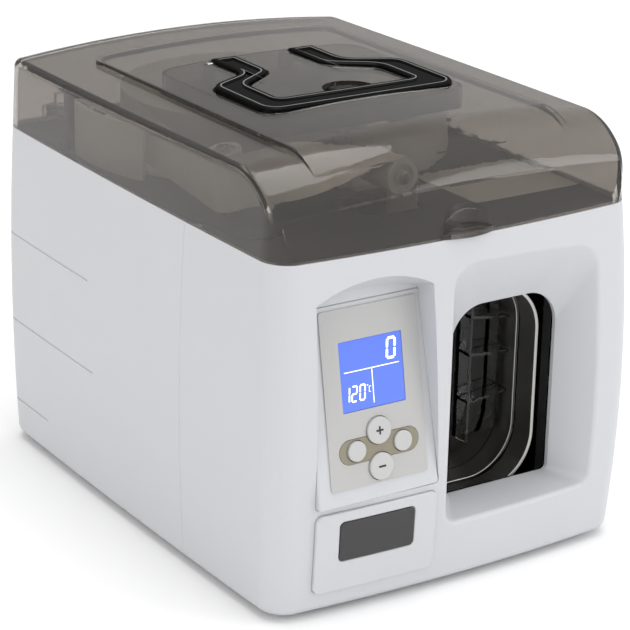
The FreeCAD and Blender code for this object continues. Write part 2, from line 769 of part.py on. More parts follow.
def lid():
    """Smoked clear lid: shell, centre panel, handle tub, pivot lugs, hinge knuckles, thumb lip."""
    low = lid_z + lid_gap
    outer = rounded_lid_form(low).fuse(plateau(0.0)).removeSplitter()
    inner = lid_form(-lid_wall, low - 20.0).fuse(plateau(-lid_wall))
    tub_half = handle_half + handle_gap + tub_margin
    tub_y0 = handle_front_y - handle_gap - tub_margin
    tub_y1 = handle_rear_y + handle_gap + tub_margin
    tub_low = lid_top_z - tub_depth
    tub = rounded_slab(-tub_half, tub_half, tub_y0, tub_y1, 12.0, tub_low, lid_top_z + 10)
    hollow = rounded_slab(-tub_half + tub_wall, tub_half - tub_wall, tub_y0 + tub_wall,
                          tub_y1 - tub_wall, 12.0 - tub_wall, tub_low + tub_wall, lid_top_z + 20)
    body = outer.cut(inner)
    body = body.fuse(tub.common(outer).cut(hollow.common(inner)))
    cutter = handle_prism(handle_gap, tub_low + tub_wall + 0.01, lid_top_z + 20)
    scoop_y = handle_front_y + handle_grip_in_y
    scoop = rod(V(scoop_x, scoop_y, tub_low + tub_wall + 3), Z_AXIS, scoop_radius, 60)
    scoop = scoop.common(box(-far, far, scoop_y - 4, far, -far, far))
    body = body.cut([cutter, scoop])
    lugs = []
    for side in (-1, 1):
        for x_near in (handle_arm_in - handle_gap - 3.0, handle_arm_out + handle_gap):
            x0 = side * x_near if side > 0 else -x_near - 3.0
            lug = box(x0, x0 + 3.0, handle_pivot_y - 5, handle_pivot_y + 5,
                      tub_low + tub_wall / 2, lid_top_z + 10)
            lugs.append(lug.common(outer))
    body = body.fuse(lugs)
    knuckles = []
    for side in (-1, 1):
        x0 = side * hinge_x - hinge_lid_knuckle / 2
        barrel = rod(V(x0, hinge_y, hinge_z), X_AXIS, hinge_radius, hinge_lid_knuckle)
        web = box(x0, x0 + hinge_lid_knuckle, rear_y - lid_wall, hinge_y + hinge_radius - 1.0,
                  hinge_z, hinge_z + 9.0)
        knuckles += [barrel, web]
    body = body.fuse(knuckles)
    cuts = []
    for side in (-1, 1):
        x0 = side * hinge_x - hinge_lid_knuckle / 2
        cuts.append(rod(V(x0 - 1, hinge_y, hinge_z), X_AXIS, hinge_pin_radius + run_gap,
                        hinge_lid_knuckle + 2))
        for start in (x0 - hinge_knuckle - 2 * move_gap, x0 + hinge_lid_knuckle):
            notch = rod(V(start, hinge_y, hinge_z), X_AXIS, notch_radius,
                        hinge_knuckle + 2 * move_gap)
            cuts.append(notch)
    for side in (-1, 1):
        x0 = side * handle_arm_in - 20 if side < 0 else handle_arm_in - 5
        cuts.append(rod(V(x0 - 0.0, handle_pivot_y, handle_pivot_z), X_AXIS, handle_pin_radius, 25))
    body = body.cut(cuts)
    face_y = front_y - front_bow
    backing = thumb_scoop(lid_wall, low).common(outer).common(box(-far, far, -far, far, low, far))
    body = body.fuse(backing).cut(thumb_scoop(0.0, low))
    lip = rod(V(thumb_x, face_y + 34.0, low), Z_AXIS, 37.2, 2.5)
    lip = lip.common(box(thumb_x - thumb_half - 2, thumb_x + thumb_half + 2, face_y - 9, face_y + 2.0,
                         low, far))
    body = body.fuse(lip)
    return body.removeSplitter()


handle_top_z = lid_top_z
handle_pivot_z = handle_top_z - handle_thickness / 2


def carry_handle():
    """Fold-flat carrying handle, its cranked arms rounded and bored at the pivot pins."""
    z1 = handle_top_z
    handle = handle_prism(0.0, z1 - handle_thickness, z1)
    rim = [edge for edge in handle.Edges
           if abs(edge.BoundBox.ZMin - z1) < 0.01 and abs(edge.BoundBox.ZMax - z1) < 0.01]
    handle = handle.makeChamfer(0.8, rim)
    end = box(-60, 60, handle_pivot_y, handle_pivot_y + 20, z1 - 10, z1 + 1)
    end = end.cut(rod(V(-70, handle_pivot_y, handle_pivot_z), X_AXIS, handle_thickness / 2, 140))
    bore = rod(V(-60, handle_pivot_y, handle_pivot_z), X_AXIS, handle_pin_radius + run_gap, 120)
    return handle.cut([end, bore])


def handle_pins():
    """Two steel pivot pins of the handle."""
    length = handle_arm_out - handle_arm_in + 2 * handle_gap + 5.0
    middle = (handle_arm_out + handle_arm_in) / 2
    return group([rod(V(side * middle - length / 2, handle_pivot_y, handle_pivot_z), X_AXIS,
                      handle_pin_radius, length) for side in (-1, 1)])


# ---------------------------------------------------------------- control console pieces
def key_places():
    """Name, x, v and cap radius of every push button."""
    return {
        "plus_button": (key_x, plus_v, key_radius),
        "minus_button": (key_x, minus_v, key_radius),
        "reverse_button": (reverse_x, inlay_v, side_key_radius),
        "feed_button": (feed_x, inlay_v, side_key_radius),
    }


lcd_depth = 2.5
pcb_gap = 4.0                                # board behind the console's back
pcb_thickness = 1.6
boss_radius = 2.5


def lcd_bounds(grow):
    """Console-plane bounds of the display."""
    x_mid = (console_left + console_right) / 2 + 0.35
    return (x_mid - lcd_width / 2 - grow, x_mid + lcd_width / 2 + grow,
            lcd_centre_v - lcd_height / 2 - grow, lcd_centre_v + lcd_height / 2 + grow)


def boss_places():
    """Corners of the control board on the console plane."""
    return [(x, v) for x in (console_left + 11.5, console_right - 11.5)
            for v in (11.5, console_slope - 11.5)]


def control_console():
    """Leaning control panel with button guides, display seat and board posts."""
    slab = console_slab(console_left, console_right, 0.0, console_slope, console_edge, 0.0,
                        console_thickness)
    rim = [edge for edge in slab.Edges if edge.Length > 40.0]
    front = console_frame(Part.makePlane(1, 1))
    normal = front.Faces[0].normalAt(0, 0)
    origin = V(0, console_foot_y, console_bottom)
    face_rim = [edge for edge in rim if abs((edge.CenterOfMass.sub(origin)).dot(normal)) < 0.01]
    slab = slab.makeFillet(1.0, face_rim)
    x0, x1, v0, v1 = lcd_bounds(fit_gap / 2)
    cuts = [console_slab(x0, x1, v0, v1, 0.8, -1.0, lcd_depth),
            console_slab(x0 + 3, x1 - 3, v0 + 3, v1 - 3, 0.8, 0.0, 20.0)]
    for x, v, radius in key_places().values():
        cuts.append(console_rod(x, v, radius + move_gap, -1.0, 20.0))
        cuts.append(console_rod(x, v, radius + key_flange + move_gap, console_thickness - 1.6, 20.0))
    slab = slab.cut(cuts)
    posts = [console_rod(x, v, boss_radius, console_thickness - 0.5, console_thickness + pcb_gap)
             for x, v in boss_places()]
    return fuse([slab] + posts)


def console_faceplate():
    """Overlay plate round the display and the buttons."""
    plate = console_slab(faceplate_left, faceplate_right, faceplate_v0, faceplate_v1, 1.5,
                         -faceplate_thickness, 0.0)
    x0, x1, v0, v1 = lcd_bounds(fit_gap / 2)
    cuts = [console_slab(x0, x1, v0, v1, 0.8, -2.0, 1.0)]
    cuts.append(key_inlay_blank(fit_gap / 2, -2.0, 1.0))
    for x, v, radius in key_places().values():
        cuts.append(console_rod(x, v, radius + move_gap, -2.0, 1.0))
    return plate.cut(cuts)


def key_inlay_blank(grow, depth0, depth1):
    """Oblong of the button inlay."""
    middle = (reverse_x + feed_x) / 2
    half = inlay_length / 2 + grow
    return console_slab(middle - half, middle + half, inlay_v - inlay_height / 2 - grow,
                        inlay_v + inlay_height / 2 + grow, inlay_height / 2 + grow - 0.01,
                        depth0, depth1)


def key_inlay():
    """Khaki oblong between the buttons, pierced for all four."""
    blank = key_inlay_blank(-fit_gap / 2, -faceplate_thickness - 0.2, 0.0)
    holes = [console_rod(x, v, radius + move_gap, -2.0, 1.0)
             for x, v, radius in key_places().values()]
    return max(blank.cut(holes).Solids, key=lambda solid: solid.Volume)


def lcd_display():
    """Display module in its seat, glass level with the overlay."""
    x0, x1, v0, v1 = lcd_bounds(-fit_gap / 2)
    return console_slab(x0, x1, v0, v1, 0.5, -faceplate_thickness + 0.3, lcd_depth)


def push_button(name):
    """One push button: domed cap, retaining flange and switch stem."""
    x, v, radius = key_places()[name]
    top = -faceplate_thickness - key_proud
    cap = console_rod(x, v, radius, top, console_thickness)
    face = [edge for edge in cap.Edges
            if abs(edge.BoundBox.DiagonalLength) > 1 and edge.Length > 10]
    normal_dot = [(edge.CenterOfMass.sub(console_rod(x, v, 1, top, top + 1).CenterOfMass).Length, edge)
                  for edge in face]
    cap = cap.makeFillet(0.6, [min(normal_dot, key=lambda pair: pair[0])[1]])
    flange_top = console_thickness - 1.6 + move_gap
    flange = console_rod(x, v, radius + key_flange, flange_top, flange_top + 1.2)
    stem = console_rod(x, v, 1.5, console_thickness - 1, console_thickness + pcb_gap - key_travel - 0.4)
    return fuse([cap, flange, stem])


def console_pcb():
    """Control board on the console's posts, with its four tact switches' bodies."""
    depth = console_thickness + pcb_gap
    board = console_slab(console_left + 8.0, console_right - 8.0, 8.0, console_slope - 8.0, 1.0,
                         depth, depth + pcb_thickness)
    chips = [console_slab(x - 6, x + 6, v - 4, v + 4, 0.4, depth + pcb_thickness - 0.1,
                          depth + pcb_thickness + 2.0)
             for x, v in ((-70, 50), (-40, 50), (-54, 75))]
    return fuse([board] + chips)


def nameplate_zone(grow, inner, outer):
    """Patch of the front's skin inside the nameplate's outline."""
    plate = rounded_plate(nameplate_left - grow, nameplate_left + nameplate_width + grow,
                          nameplate_bottom - grow, nameplate_bottom + nameplate_height + grow,
                          [nameplate_radius + grow] * 4, front_y - 40.0, front_y + 40.0)
    band = body_form(base_z, lid_z, outer).cut(body_form(base_z - 1, lid_z + 1, inner))
    return plate.common(band)


def lower_cover():
    """Raised cover under the console, following the front's curve."""
    cover = lower_cover_zone(0.0, -1.2, cover_proud)
    return cover.cut(nameplate_zone(fit_gap, cover_proud - 1.0, cover_proud + 3.0))


def blank_nameplate():
    """Bare dark plate let into the lower cover."""
    return nameplate_zone(0.0, cover_proud - 0.95, cover_proud - 0.95 + nameplate_thickness)


# ---------------------------------------------------------------- tape reel and guides
reel_x = -9.0
reel_front_y = front_y + 110.2               # turntable's front edge, behind the guide wall
reel_rear_gap = 9.8
reel_side_gap = 15.5
# The turntable fills the bay's depth or its width, whichever is less.
reel_plate_radius = min((rear_y - reel_rear_gap - reel_front_y) / 2, half_width + reel_x - reel_side_gap)
reel_y = reel_front_y + reel_plate_radius
reel_plate_z = deck_z + 2.3
reel_plate_thickness = 2.5
roll_z = reel_plate_z + reel_plate_thickness
reel_margin = 18.0                           # plate's edge outside the paper
roll_radius = reel_plate_radius - reel_margin
core_radius = 20.0
core_bore = 17.0
hub_radius = 10.0
spindle_radius = 6.0
knob_thickness = 2.6


def reel_spindle():
    """Fixed spindle and thrust flange standing on the deck."""
    flange = rod(V(reel_x, reel_y, deck_z), Z_AXIS, 20.0, 2.0)
    shaft = rod(V(reel_x, reel_y, deck_z), Z_AXIS, spindle_radius, roll_z + 24.0 - deck_z)
    return fuse([flange, shaft])


def reel_plate():
    """Turntable with the collar that centres the paper core."""
    plate = rod(V(reel_x, reel_y, reel_plate_z), Z_AXIS, reel_plate_radius, reel_plate_thickness)
    hole_circle = reel_plate_radius - reel_margin / 2 - 1.0
    holes = []
    for index in range(6):
        turn = math.radians(60 * index + 30)
        holes.append(rod(V(reel_x + hole_circle * math.cos(turn), reel_y + hole_circle * math.sin(turn),
                           reel_plate_z - 1), Z_AXIS, 5.0, 6))
    collar = ring(V(reel_x, reel_y, roll_z), Z_AXIS, core_bore - run_gap, core_bore - 3.0, 10.0)
    hub = rod(V(reel_x, reel_y, roll_z), Z_AXIS, hub_radius, tape_width)
    bore = rod(V(reel_x, reel_y, reel_plate_z - 1), Z_AXIS, spindle_radius + run_gap, tape_width + 10)
    return fuse([plate.cut(holes), collar, hub]).cut(bore)


def paper_roll():
    """Wound roll of plain banding paper."""
    return ring(V(reel_x, reel_y, roll_z), Z_AXIS, roll_radius, core_radius, tape_width)


def roll_core():
    """Cardboard core of the roll."""
    return ring(V(reel_x, reel_y, roll_z), Z_AXIS, core_radius, core_bore, tape_width)


def roll_clamp_knob():
    """Scalloped disc clamping the roll on the hub."""
    z = roll_z + tape_width
    disc = rod(V(reel_x, reel_y, z), Z_AXIS, 24.0, knob_thickness)
    grips = []
    for index in range(8):
        turn = math.radians(45 * index)
        grips.append(rod(V(reel_x + 25.5 * math.cos(turn), reel_y + 25.5 * math.sin(turn), z - 1),
                         Z_AXIS, 4.0, knob_thickness + 2))
    return disc.cut(grips)


wall_centre_x = reel_x + 14.0
wall_centre_y = reel_y + 6.75
wall_radius = reel_plate_radius + 19.0
wall_thickness = 2.5
wall_end = -37.0
wall_top_z = deck_z + 30.0
small_roller_x = guide_x - 8.8
small_roller_y = wall_centre_y - wall_radius + 0.4
small_roller_radius = 5.0
small_roller_height = 26.0
wall_left = small_roller_x + small_roller_radius + 2 * move_gap   # wall ends short of the roller
wall_start = -90.0 - math.degrees(math.asin((wall_centre_x - wall_left) / wall_radius))
side_wall_start = 169.0                      # stretch of the same wall along the reel's left side
side_wall_end = 204.0


def arc_point(radius, degrees):
    """Point at an angle on a circle round the guide wall's centre."""
    turn = math.radians(degrees)
    return V(wall_centre_x + radius * math.cos(turn), wall_centre_y + radius * math.sin(turn), deck_z)


guide_z = deck_z + 17.0
guide_radius = 9.5
guide_y0 = slot_front + 2.5
guide_length = 29.0
pin_radius = 2.0


def wall_stretch(start, end):
    """Curved upright wall on the deck from one angle to another."""
    outer = wall_radius + wall_thickness / 2
    inner = wall_radius - wall_thickness / 2
    middle = (start + end) / 2
    edges = [
        Part.Arc(arc_point(outer, start), arc_point(outer, middle), arc_point(outer, end)),
        Part.LineSegment(arc_point(outer, end), arc_point(inner, end)),
        Part.Arc(arc_point(inner, end), arc_point(inner, middle), arc_point(inner, start)),
        Part.LineSegment(arc_point(inner, start), arc_point(outer, start)),
    ]
    curve = Part.Face(Part.Wire([edge.toShape() for edge in edges]))
    return curve.extrude(V(0, 0, wall_top_z - deck_z))


def tape_guide_wall():
    """Curved walls round the reel, in front with the guide roller's boss, and on the left."""
    curve = wall_stretch(wall_start, wall_end)
    wall_y = wall_centre_y - wall_radius
    boss = rod(V(guide_x, guide_y0 + guide_length + 1.0, guide_z), Y_AXIS, pin_radius + 1.2,
               wall_y - guide_y0 - guide_length)
    foot = box(wall_left, wall_left + 24.0, wall_y - 6.0, wall_y + 0.5, deck_z, deck_z + 2.5)
    body = fuse([curve, boss, foot])
    body = body.cut(rod(V(guide_x, guide_y0, guide_z), Y_AXIS, pin_radius, guide_length + 8.0))
    return group([body, wall_stretch(side_wall_start, side_wall_end)])


def guide_roller():
    """Flangeless white roller over the deck slot, turning about a level pin."""
    roller = rod(V(guide_x, guide_y0, guide_z), Y_AXIS, guide_radius, guide_length)
    recess = ring(V(guide_x, guide_y0, guide_z), Y_AXIS, 6.8, 3.6, 3.0)
    bore = rod(V(guide_x, guide_y0 - 1, guide_z), Y_AXIS, pin_radius + run_gap, guide_length + 2)
    return roller.cut([recess, bore])


corner_x = -half_width + 24.5
corner_y = front_y + 85.2
corner_z = roll_z + tape_width / 2 + 2.2      # lifted, so the tape clears the turntable's rim
corner_tilt = 12.0
corner_radius_roller = 9.5
corner_length = 30.0


def corner_axis():
    """Direction of the leaning corner roller's axis."""
    turn = math.radians(corner_tilt)
    return V(-math.sin(turn), 0, math.cos(turn))


def along_corner(distance):
    """Point on the leaning axis."""
    return V(corner_x, corner_y, corner_z) + corner_axis() * distance


def corner_roller():
    """Leaning roller that turns the tape round the deck's corner."""
    start = along_corner(-corner_length / 2)
    roller = rod(start, corner_axis(), corner_radius_roller, corner_length)
    recess = ring(along_corner(corner_length / 2 - 2.0), corner_axis(), 6.5, 3.6, 3.0)
    bore = rod(along_corner(-corner_length), corner_axis(), pin_radius + run_gap, 2 * corner_length)
    return roller.cut([recess, bore])


def tension_roller():
    """Small upright roller at the end of the guide wall."""
    centre = V(small_roller_x, small_roller_y, deck_z + 2.3)
    roller = rod(centre, Z_AXIS, small_roller_radius, small_roller_height)
    bore = rod(centre - V(0, 0, 1), Z_AXIS, 1.5 + run_gap, small_roller_height + 2)
    return roller.cut(bore)


def roller_pins():
    """Chromed pins of the three rollers, each with a head."""
    level = rod(V(guide_x, guide_y0 - 1.6, guide_z), Y_AXIS, pin_radius, guide_length + 8.0)
    level_head = rod(V(guide_x, guide_y0 - 1.9, guide_z), Y_AXIS, 3.2, 1.5)
    lean = rod(along_corner(-corner_length / 2 - 4.0), corner_axis(), pin_radius, corner_length + 5.4)
    lean_head = rod(along_corner(corner_length / 2 + 0.4), corner_axis(), 3.2, 1.5)
    small = V(small_roller_x, small_roller_y, deck_z)
    upright = rod(small, Z_AXIS, 1.5, small_roller_height + 3.5)
    collar = rod(small, Z_AXIS, 4.0, 2.0)
    upright_head = rod(small + V(0, 0, small_roller_height + 2.7), Z_AXIS, 2.6, 1.3)
    return group([fuse([level, level_head]), fuse([lean, lean_head]),
                  fuse([upright, collar, upright_head])])


def corner_guide():
    """Moulded foot that carries the leaning roller's pin."""
    x = corner_x
    foot = smooth_outline([(x - 16, corner_y + 13, 4.0), (x + 6, corner_y + 13, 4.0),
                           (x + 26, corner_y - 12, 3.0), (x + 22, corner_y - 27, 3.0),
                           (x, corner_y - 41, 3.0), (x - 10, corner_y - 36, 3.0)],
                          deck_z, deck_z + 1.6)
    stand = rod(along_corner(-corner_length / 2 - 6.0), corner_axis(), 5.0, 5.6)
    stand = stand.common(box(-far, far, -far, far, deck_z, far))
    hole = rod(along_corner(-corner_length / 2 - 4.0), corner_axis(), pin_radius, 20)
    return fuse([foot, stand]).cut(hole)


def roll_sensor():
    """Low-paper sensor post at the rear left of the deck."""
    x = -half_width + 11.8
    y = arc_point(wall_radius, side_wall_start).y + 7.0
    foot = rounded_slab(x - 3.5, x + 3.5, y - 5, y + 9, 2.0, deck_z, deck_z + 3)
    post = rounded_slab(x - 2.4, x + 2.4, y - 3, y + 3, 1.2, deck_z + 2, deck_z + 34)
    return fuse([foot, post])


# tape plane below the guide roller
tape_gap = 0.3                               # tape to a roller of another body
tape_x = guide_x + guide_radius + tape_gap + tape_thickness / 2
tape_end_z = deck_under_z - 37.5


def tape_section(centre, across, normal):
    """Rectangular cross-section wire of the tape."""
    a = across * (tape_width / 2)
    n = normal * (tape_thickness / 2)
    points = [centre - a - n, centre + a - n, centre + a + n, centre - a + n]
    return Part.makePolygon(points + [points[0]])


def paper_tape():
    """Threaded paper band: roll, leaning roller, quarter twist, guide roller, deck slot."""
    sections = []
    band_z = roll_z + tape_width / 2
    corner_r = corner_radius_roller + tape_gap + tape_thickness / 2
    roll_r = roll_radius + tape_gap + tape_thickness / 2
    to_corner = V(corner_x - reel_x, corner_y - reel_y, 0)
    lean = math.asin((roll_r - corner_r) / to_corner.Length)
    heading = math.atan2(to_corner.y, to_corner.x)
    leave = heading - math.pi / 2 + lean
    outwards = V(math.cos(leave), math.sin(leave), 0)
    sections.append(tape_section(V(reel_x, reel_y, band_z) + outwards * roll_r, Z_AXIS, outwards))
    axis = corner_axis()
    e1 = V(math.cos(math.radians(corner_tilt)), 0, math.sin(math.radians(corner_tilt)))
    e2 = Y_AXIS
    start = leave % (2 * math.pi)
    finish = math.radians(268)
    steps = 9
    for index in range(steps + 1):
        turn = start + (finish - start) * index / steps
        normal = e1 * math.cos(turn) + e2 * math.sin(turn)
        sections.append(tape_section(V(corner_x, corner_y, corner_z) + normal * corner_r, axis, normal))
    last = V(corner_x, corner_y, corner_z) + normal * corner_r
    guide_mid = guide_y0 + guide_length / 2
    guide_r = guide_radius + tape_gap + tape_thickness / 2
    target = V(guide_x, guide_mid, guide_z + guide_r)
    tilt_start = math.atan2(axis.x, axis.z)
    for index in range(1, 13):
        share = index / 13
        easing = share * share * (3 - 2 * share)
        turn = math.radians(90) * easing
        across = V(math.sin(tilt_start) * (1 - easing), math.sin(turn), math.cos(turn)).normalize()
        travel = target.sub(last).normalize()
        across = (across - travel * across.dot(travel)).normalize()
        normal = travel.cross(across) * -1
        sections.append(tape_section(last + target.sub(last) * share, across, normal))
    for index in range(10):
        turn = math.radians(90 - 10 * index)
        normal = V(math.cos(turn), 0, math.sin(turn))
        sections.append(tape_section(V(guide_x, guide_mid, guide_z) + normal * guide_r, Y_AXIS, normal))
    sections.append(tape_section(V(tape_x, guide_mid, tape_end_z), Y_AXIS, X_AXIS))
    return Part.makeLoft(sections, True, True)


# ---------------------------------------------------------------- tape loop in the chamber
plate_y = opening_y + pocket_wall            # back of the pocket's collar
loop_plate_thickness = 1.5
rail_width = 14.0
rail_gap = 3.0
front_rail_y = plate_y + loop_plate_thickness
rear_rail_y = front_rail_y + rail_width + rail_gap
mechanism_y = rear_rail_y + rail_width
mechanism_thickness = 2.0
mechanism_set = 17.5                         # plate's ends in from the housing's sides
loop_right = opening_right - 10.0
loop_bottom = opening_bottom - 4.0
loop_top = opening_top + 4.0
loop_left = opening_left - 11.7
loop_radius = 28.0
rail_thickness = 2.0
window_width = 26.5
window_left = opening_left + 1.8
window_right = window_left + window_width
window_bottom = loop_bottom + 2.0
window_top = opening_top - 2.0


def loop_front_plate():
    """Steel plate behind the pocket's collar, with the same arched opening."""
    plate = rounded_plate(opening_left - 17.7, opening_right + 4.0, opening_bottom - 10.0,
                          opening_top + 13.0, [3.0] * 4, plate_y, front_rail_y)
    return plate.cut(opening_prism(0.0, plate_y - 5, front_rail_y + 5))


def track_rail(y0, y1):
    """C-shaped strip that guides the tape's edge round the bundle."""
    t = rail_thickness
    outer = rounded_plate(loop_left - 34, loop_right + t, loop_bottom - t, loop_top + t,
                          [1, loop_radius + t, loop_radius + t, 1], y0, y1)
    inner = rounded_plate(loop_left - 54, loop_right, loop_bottom, loop_top,
                          [1, loop_radius, loop_radius, 1], y0 - 1, y1 + 1)
    band = outer.cut(inner).common(box(loop_left, far, -far, far, -far, far))
    tabs = [box(loop_left + 16, loop_left + 30, y0, y1, loop_top + t - 0.5, loop_top + t + 4.0),
            box(loop_left + 28, loop_left + 40, y0, y1, loop_bottom - t - 4.0, loop_bottom - t + 0.5)]
    return fuse([band] + tabs)


def mechanism_plate():
    """Upright steel plate that carries the strapping mechanism."""
    half = half_width - mechanism_set
    plate = rounded_plate(-half, half, base_top_z, deck_under_z, [1.0] * 4, mechanism_y,
                          mechanism_y + mechanism_thickness)
    window = box(window_left, window_right, mechanism_y - 1, mechanism_y + mechanism_thickness + 1,
                 window_bottom, window_top)
    shaft_hole = rod(V(press_x, mechanism_y - 1, press_z), Y_AXIS, 4.0, mechanism_thickness + 2)
    flange = box(-half, half, mechanism_y + mechanism_thickness - 0.5,
                 mechanism_y + 14.0, base_top_z, base_top_z + 2.0)
    return fuse([plate.cut([window, shaft_hole]), flange])


def note_stop():
    """Sheet tunnel behind the bundle window, closed at its far end."""
    y1 = frame_y1 - 0.4
    outer = box(window_left - 1.5, window_right + 1.5, frame_y0, y1, window_bottom - 1.5, window_top + 1.5)
    inner = box(window_left, window_right, frame_y0 - 1, y1 - 1.5, window_bottom, window_top)
    return outer.cut(inner)


def clear_tape_guide():
    """Clear ribbed guide beside the bundle window."""
    x0 = window_right + 1.5
    x1 = loop_right - 3.0
    y0 = mechanism_y - 12.0
    z0 = window_bottom + 18.0
    z1 = window_top + 1.0
    back = box(x0, x1, mechanism_y - 2.0, mechanism_y, z0, z1)
    ribs = []
    for drop, rise in ((16.0, 4.0), (38.0, 2.0), (66.0, -3.0)):
        z = z1 - drop
        points = [V(x0, y0, z), V(x1, y0, z - rise), V(x1, y0, z - rise - 1.6), V(x0, y0, z - 1.6)]
        ribs.append(prism(points, V(0, 12.0, 0)))
    fin = box(x0, x0 + 1.6, y0, mechanism_y, z0, z1)
    inset = loop_radius - fit_gap
    inside_rails = rounded_plate(loop_left, loop_right - fit_gap, loop_bottom + fit_gap, loop_top - fit_gap,
                                 [1, inset, inset, 1], y0 - 1, mechanism_y + 1)
    return fuse([back, fin] + ribs).common(inside_rails)


# ---------------------------------------------------------------- press, heat and cut head
press_x = opening_left - 24.7
press_z = opening_bottom + 36.8
press_radius = 8.0
press_teeth = 16
press_travel = 5.0
head_left = press_x - 15.0
head_right = press_x + 11.5
head_bottom = press_z - 14.8
head_top = press_z + 51.2
head_front = front_rail_y + 2.0
carriage_bottom = press_z + press_radius + 1.2
carriage_top = carriage_bottom + 24.0
carriage_y0 = head_front + 5.0
carriage_y1 = mechanism_y - 6.0
heater_thickness = 2.5
anvil_x = opening_left - 2.3
anvil_thickness = 2.0


def head_guide_block():
    """Cast block bolted to the mechanism plate, with the press carriage's channel."""
    block = box(head_left, head_right, head_front, mechanism_y, head_bottom, head_top)
    channel = box(head_left - 1, head_right + 1, carriage_y0 - move_gap, carriage_y1 + move_gap,
                  carriage_bottom - move_gap, carriage_top + move_gap)
    rack_slot = box(head_left - 1, head_right + 1, carriage_y0 + 2.0, carriage_y1 - 2.0,
                    carriage_bottom - 4.0, carriage_bottom + 1)
    pinion_room = rod(V(press_x, carriage_y0 + 2.0, press_z), Y_AXIS, press_radius + 1.8,
                      carriage_y1 - carriage_y0 - 4.0)
    shaft = rod(V(press_x, head_front - 1, press_z), Y_AXIS, 2.5 + run_gap, 60)
    return block.cut([channel, rack_slot, pinion_room, shaft])


def press_carriage():
    """Sliding press block with a rack cut along its underside."""
    body = box(head_left + 1.0, head_right + 1.5, carriage_y0, carriage_y1, carriage_bottom, carriage_top)
    teeth = []
    pitch = math.pi
    rack_y0 = carriage_y0 + 2.0 + move_gap
    rack_y1 = carriage_y1 - 2.0 - move_gap
    root_z = carriage_bottom
    tip_z = carriage_bottom - 2.1
    slope = math.tan(math.radians(20))
    for index in range(-3, 3):
        centre = press_x + index * pitch
        half_root = pitch / 4 - 0.06 + 1.2 * slope
        half_tip = pitch / 4 - 0.06 - 0.9 * slope
        points = [V(centre - half_root, rack_y0, root_z + 0.5), V(centre - half_root, rack_y0, root_z),
                  V(centre - half_tip, rack_y0, tip_z), V(centre + half_tip, rack_y0, tip_z),
                  V(centre + half_root, rack_y0, root_z), V(centre + half_root, rack_y0, root_z + 0.5)]
        teeth.append(prism(points, V(0, rack_y1 - rack_y0, 0)))
    return fuse([body] + teeth)


def heater_plate():
    """Heating plate on the carriage's working face."""
    x = head_right + 1.5
    return box(x, x + heater_thickness, carriage_y0 + 1, carriage_y1 - 1,
               carriage_bottom + 1, carriage_top - 6.0)


def cutter_blade():
    """Bevelled cutting blade above the heating plate."""
    x = head_right + 1.5
    points = [V(x, carriage_y0 + 1, carriage_top - 5.6), V(x + 3.6, carriage_y0 + 1, carriage_top - 5.6),
              V(x + 2.6, carriage_y0 + 1, carriage_top - 4.0), V(x, carriage_y0 + 1, carriage_top - 4.0)]
    return prism(points, V(0, carriage_y1 - carriage_y0 - 2, 0))


def anvil_plate():
    """Fixed plate that the press closes against."""
    return box(anvil_x, anvil_x + anvil_thickness, carriage_y0, mechanism_y,
               carriage_bottom - 2, carriage_top + 2)


def press_pinion():
    """Pinion and shaft that drive the carriage's rack."""
    y0 = carriage_y0 + 2.0 + move_gap + 1.0
    width = carriage_y1 - carriage_y0 - 4.0 - 2 * move_gap - 2.0
    gear = involute_gear(press_teeth, 1.0, width, V(press_x, y0, press_z), 11.25)
    shaft = rod(V(press_x, head_front + 0.5, press_z), Y_AXIS, 2.5, mechanism_y + 14.0 - head_front)
    return fuse([gear, shaft])


def press_motor():
    """Press motor on the back of the mechanism plate."""
    y0 = mechanism_y + mechanism_thickness
    can = rod(V(press_x, y0, press_z), Y_AXIS, 12.0, 34.0)
    flange = rounded_plate(press_x - 15, press_x + 15, press_z - 13, press_z + 13, [3.0] * 4,
                           y0, y0 + 2.5)
    bore = rod(V(press_x, y0 - 1, press_z), Y_AXIS, 2.5 + run_gap, 14.5)
    return fuse([can, flange]).cut(bore)


# ---------------------------------------------------------------- tape feed unit under the deck
feed_z = deck_under_z - 25.5
feed_radius = 9.0
feed_x_centre = tape_x - tape_thickness / 2 - tape_gap - feed_radius
pinch_radius = 7.0
pinch_x = tape_x + tape_thickness / 2 + tape_gap + pinch_radius
feed_teeth = 36
motor_teeth = 12
motor_x = feed_x_centre - (feed_teeth + motor_teeth) / 2
frame_y0 = mechanism_y + mechanism_thickness
frame_thickness = 1.5
frame_y1 = guide_y0 + guide_length + 3.0
feed_shaft_radius = 2.5
gear_width = 6.0


def feed_frame():
    """Folded sheet frame of the feed unit, hung under the deck."""
    z0 = feed_z - 14.0
    x0 = motor_x - 17.0
    x1 = pinch_x + 9.5
    front = box(x0, x1, frame_y0, frame_y0 + frame_thickness, z0, deck_under_z)
    rear = box(x0, x1, frame_y1, frame_y1 + frame_thickness, z0, deck_under_z)
    side = box(x0, x0 + frame_thickness, frame_y0, frame_y1 + frame_thickness, z0, deck_under_z)
    holes = [
        rod(V(feed_x_centre, frame_y0 - 1, feed_z), Y_AXIS, feed_shaft_radius + run_gap, 60),
        rod(V(pinch_x, frame_y0 - 1, feed_z), Y_AXIS, 2.0 + run_gap, 60),
        rod(V(motor_x, frame_y1 - 1, feed_z), Y_AXIS, 4.0, 10),
    ]
    return fuse([front, rear, side]).cut(holes)


def roller_span():
    """Start and length of a roller between the feed frame's plates."""
    y0 = frame_y0 + frame_thickness + 0.6
    return y0, frame_y1 - 0.6 - y0


def feed_roller():
    """Rubber-covered drive roller."""
    y0, length = roller_span()
    return ring(V(feed_x_centre, y0, feed_z), Y_AXIS, feed_radius, feed_shaft_radius, length)


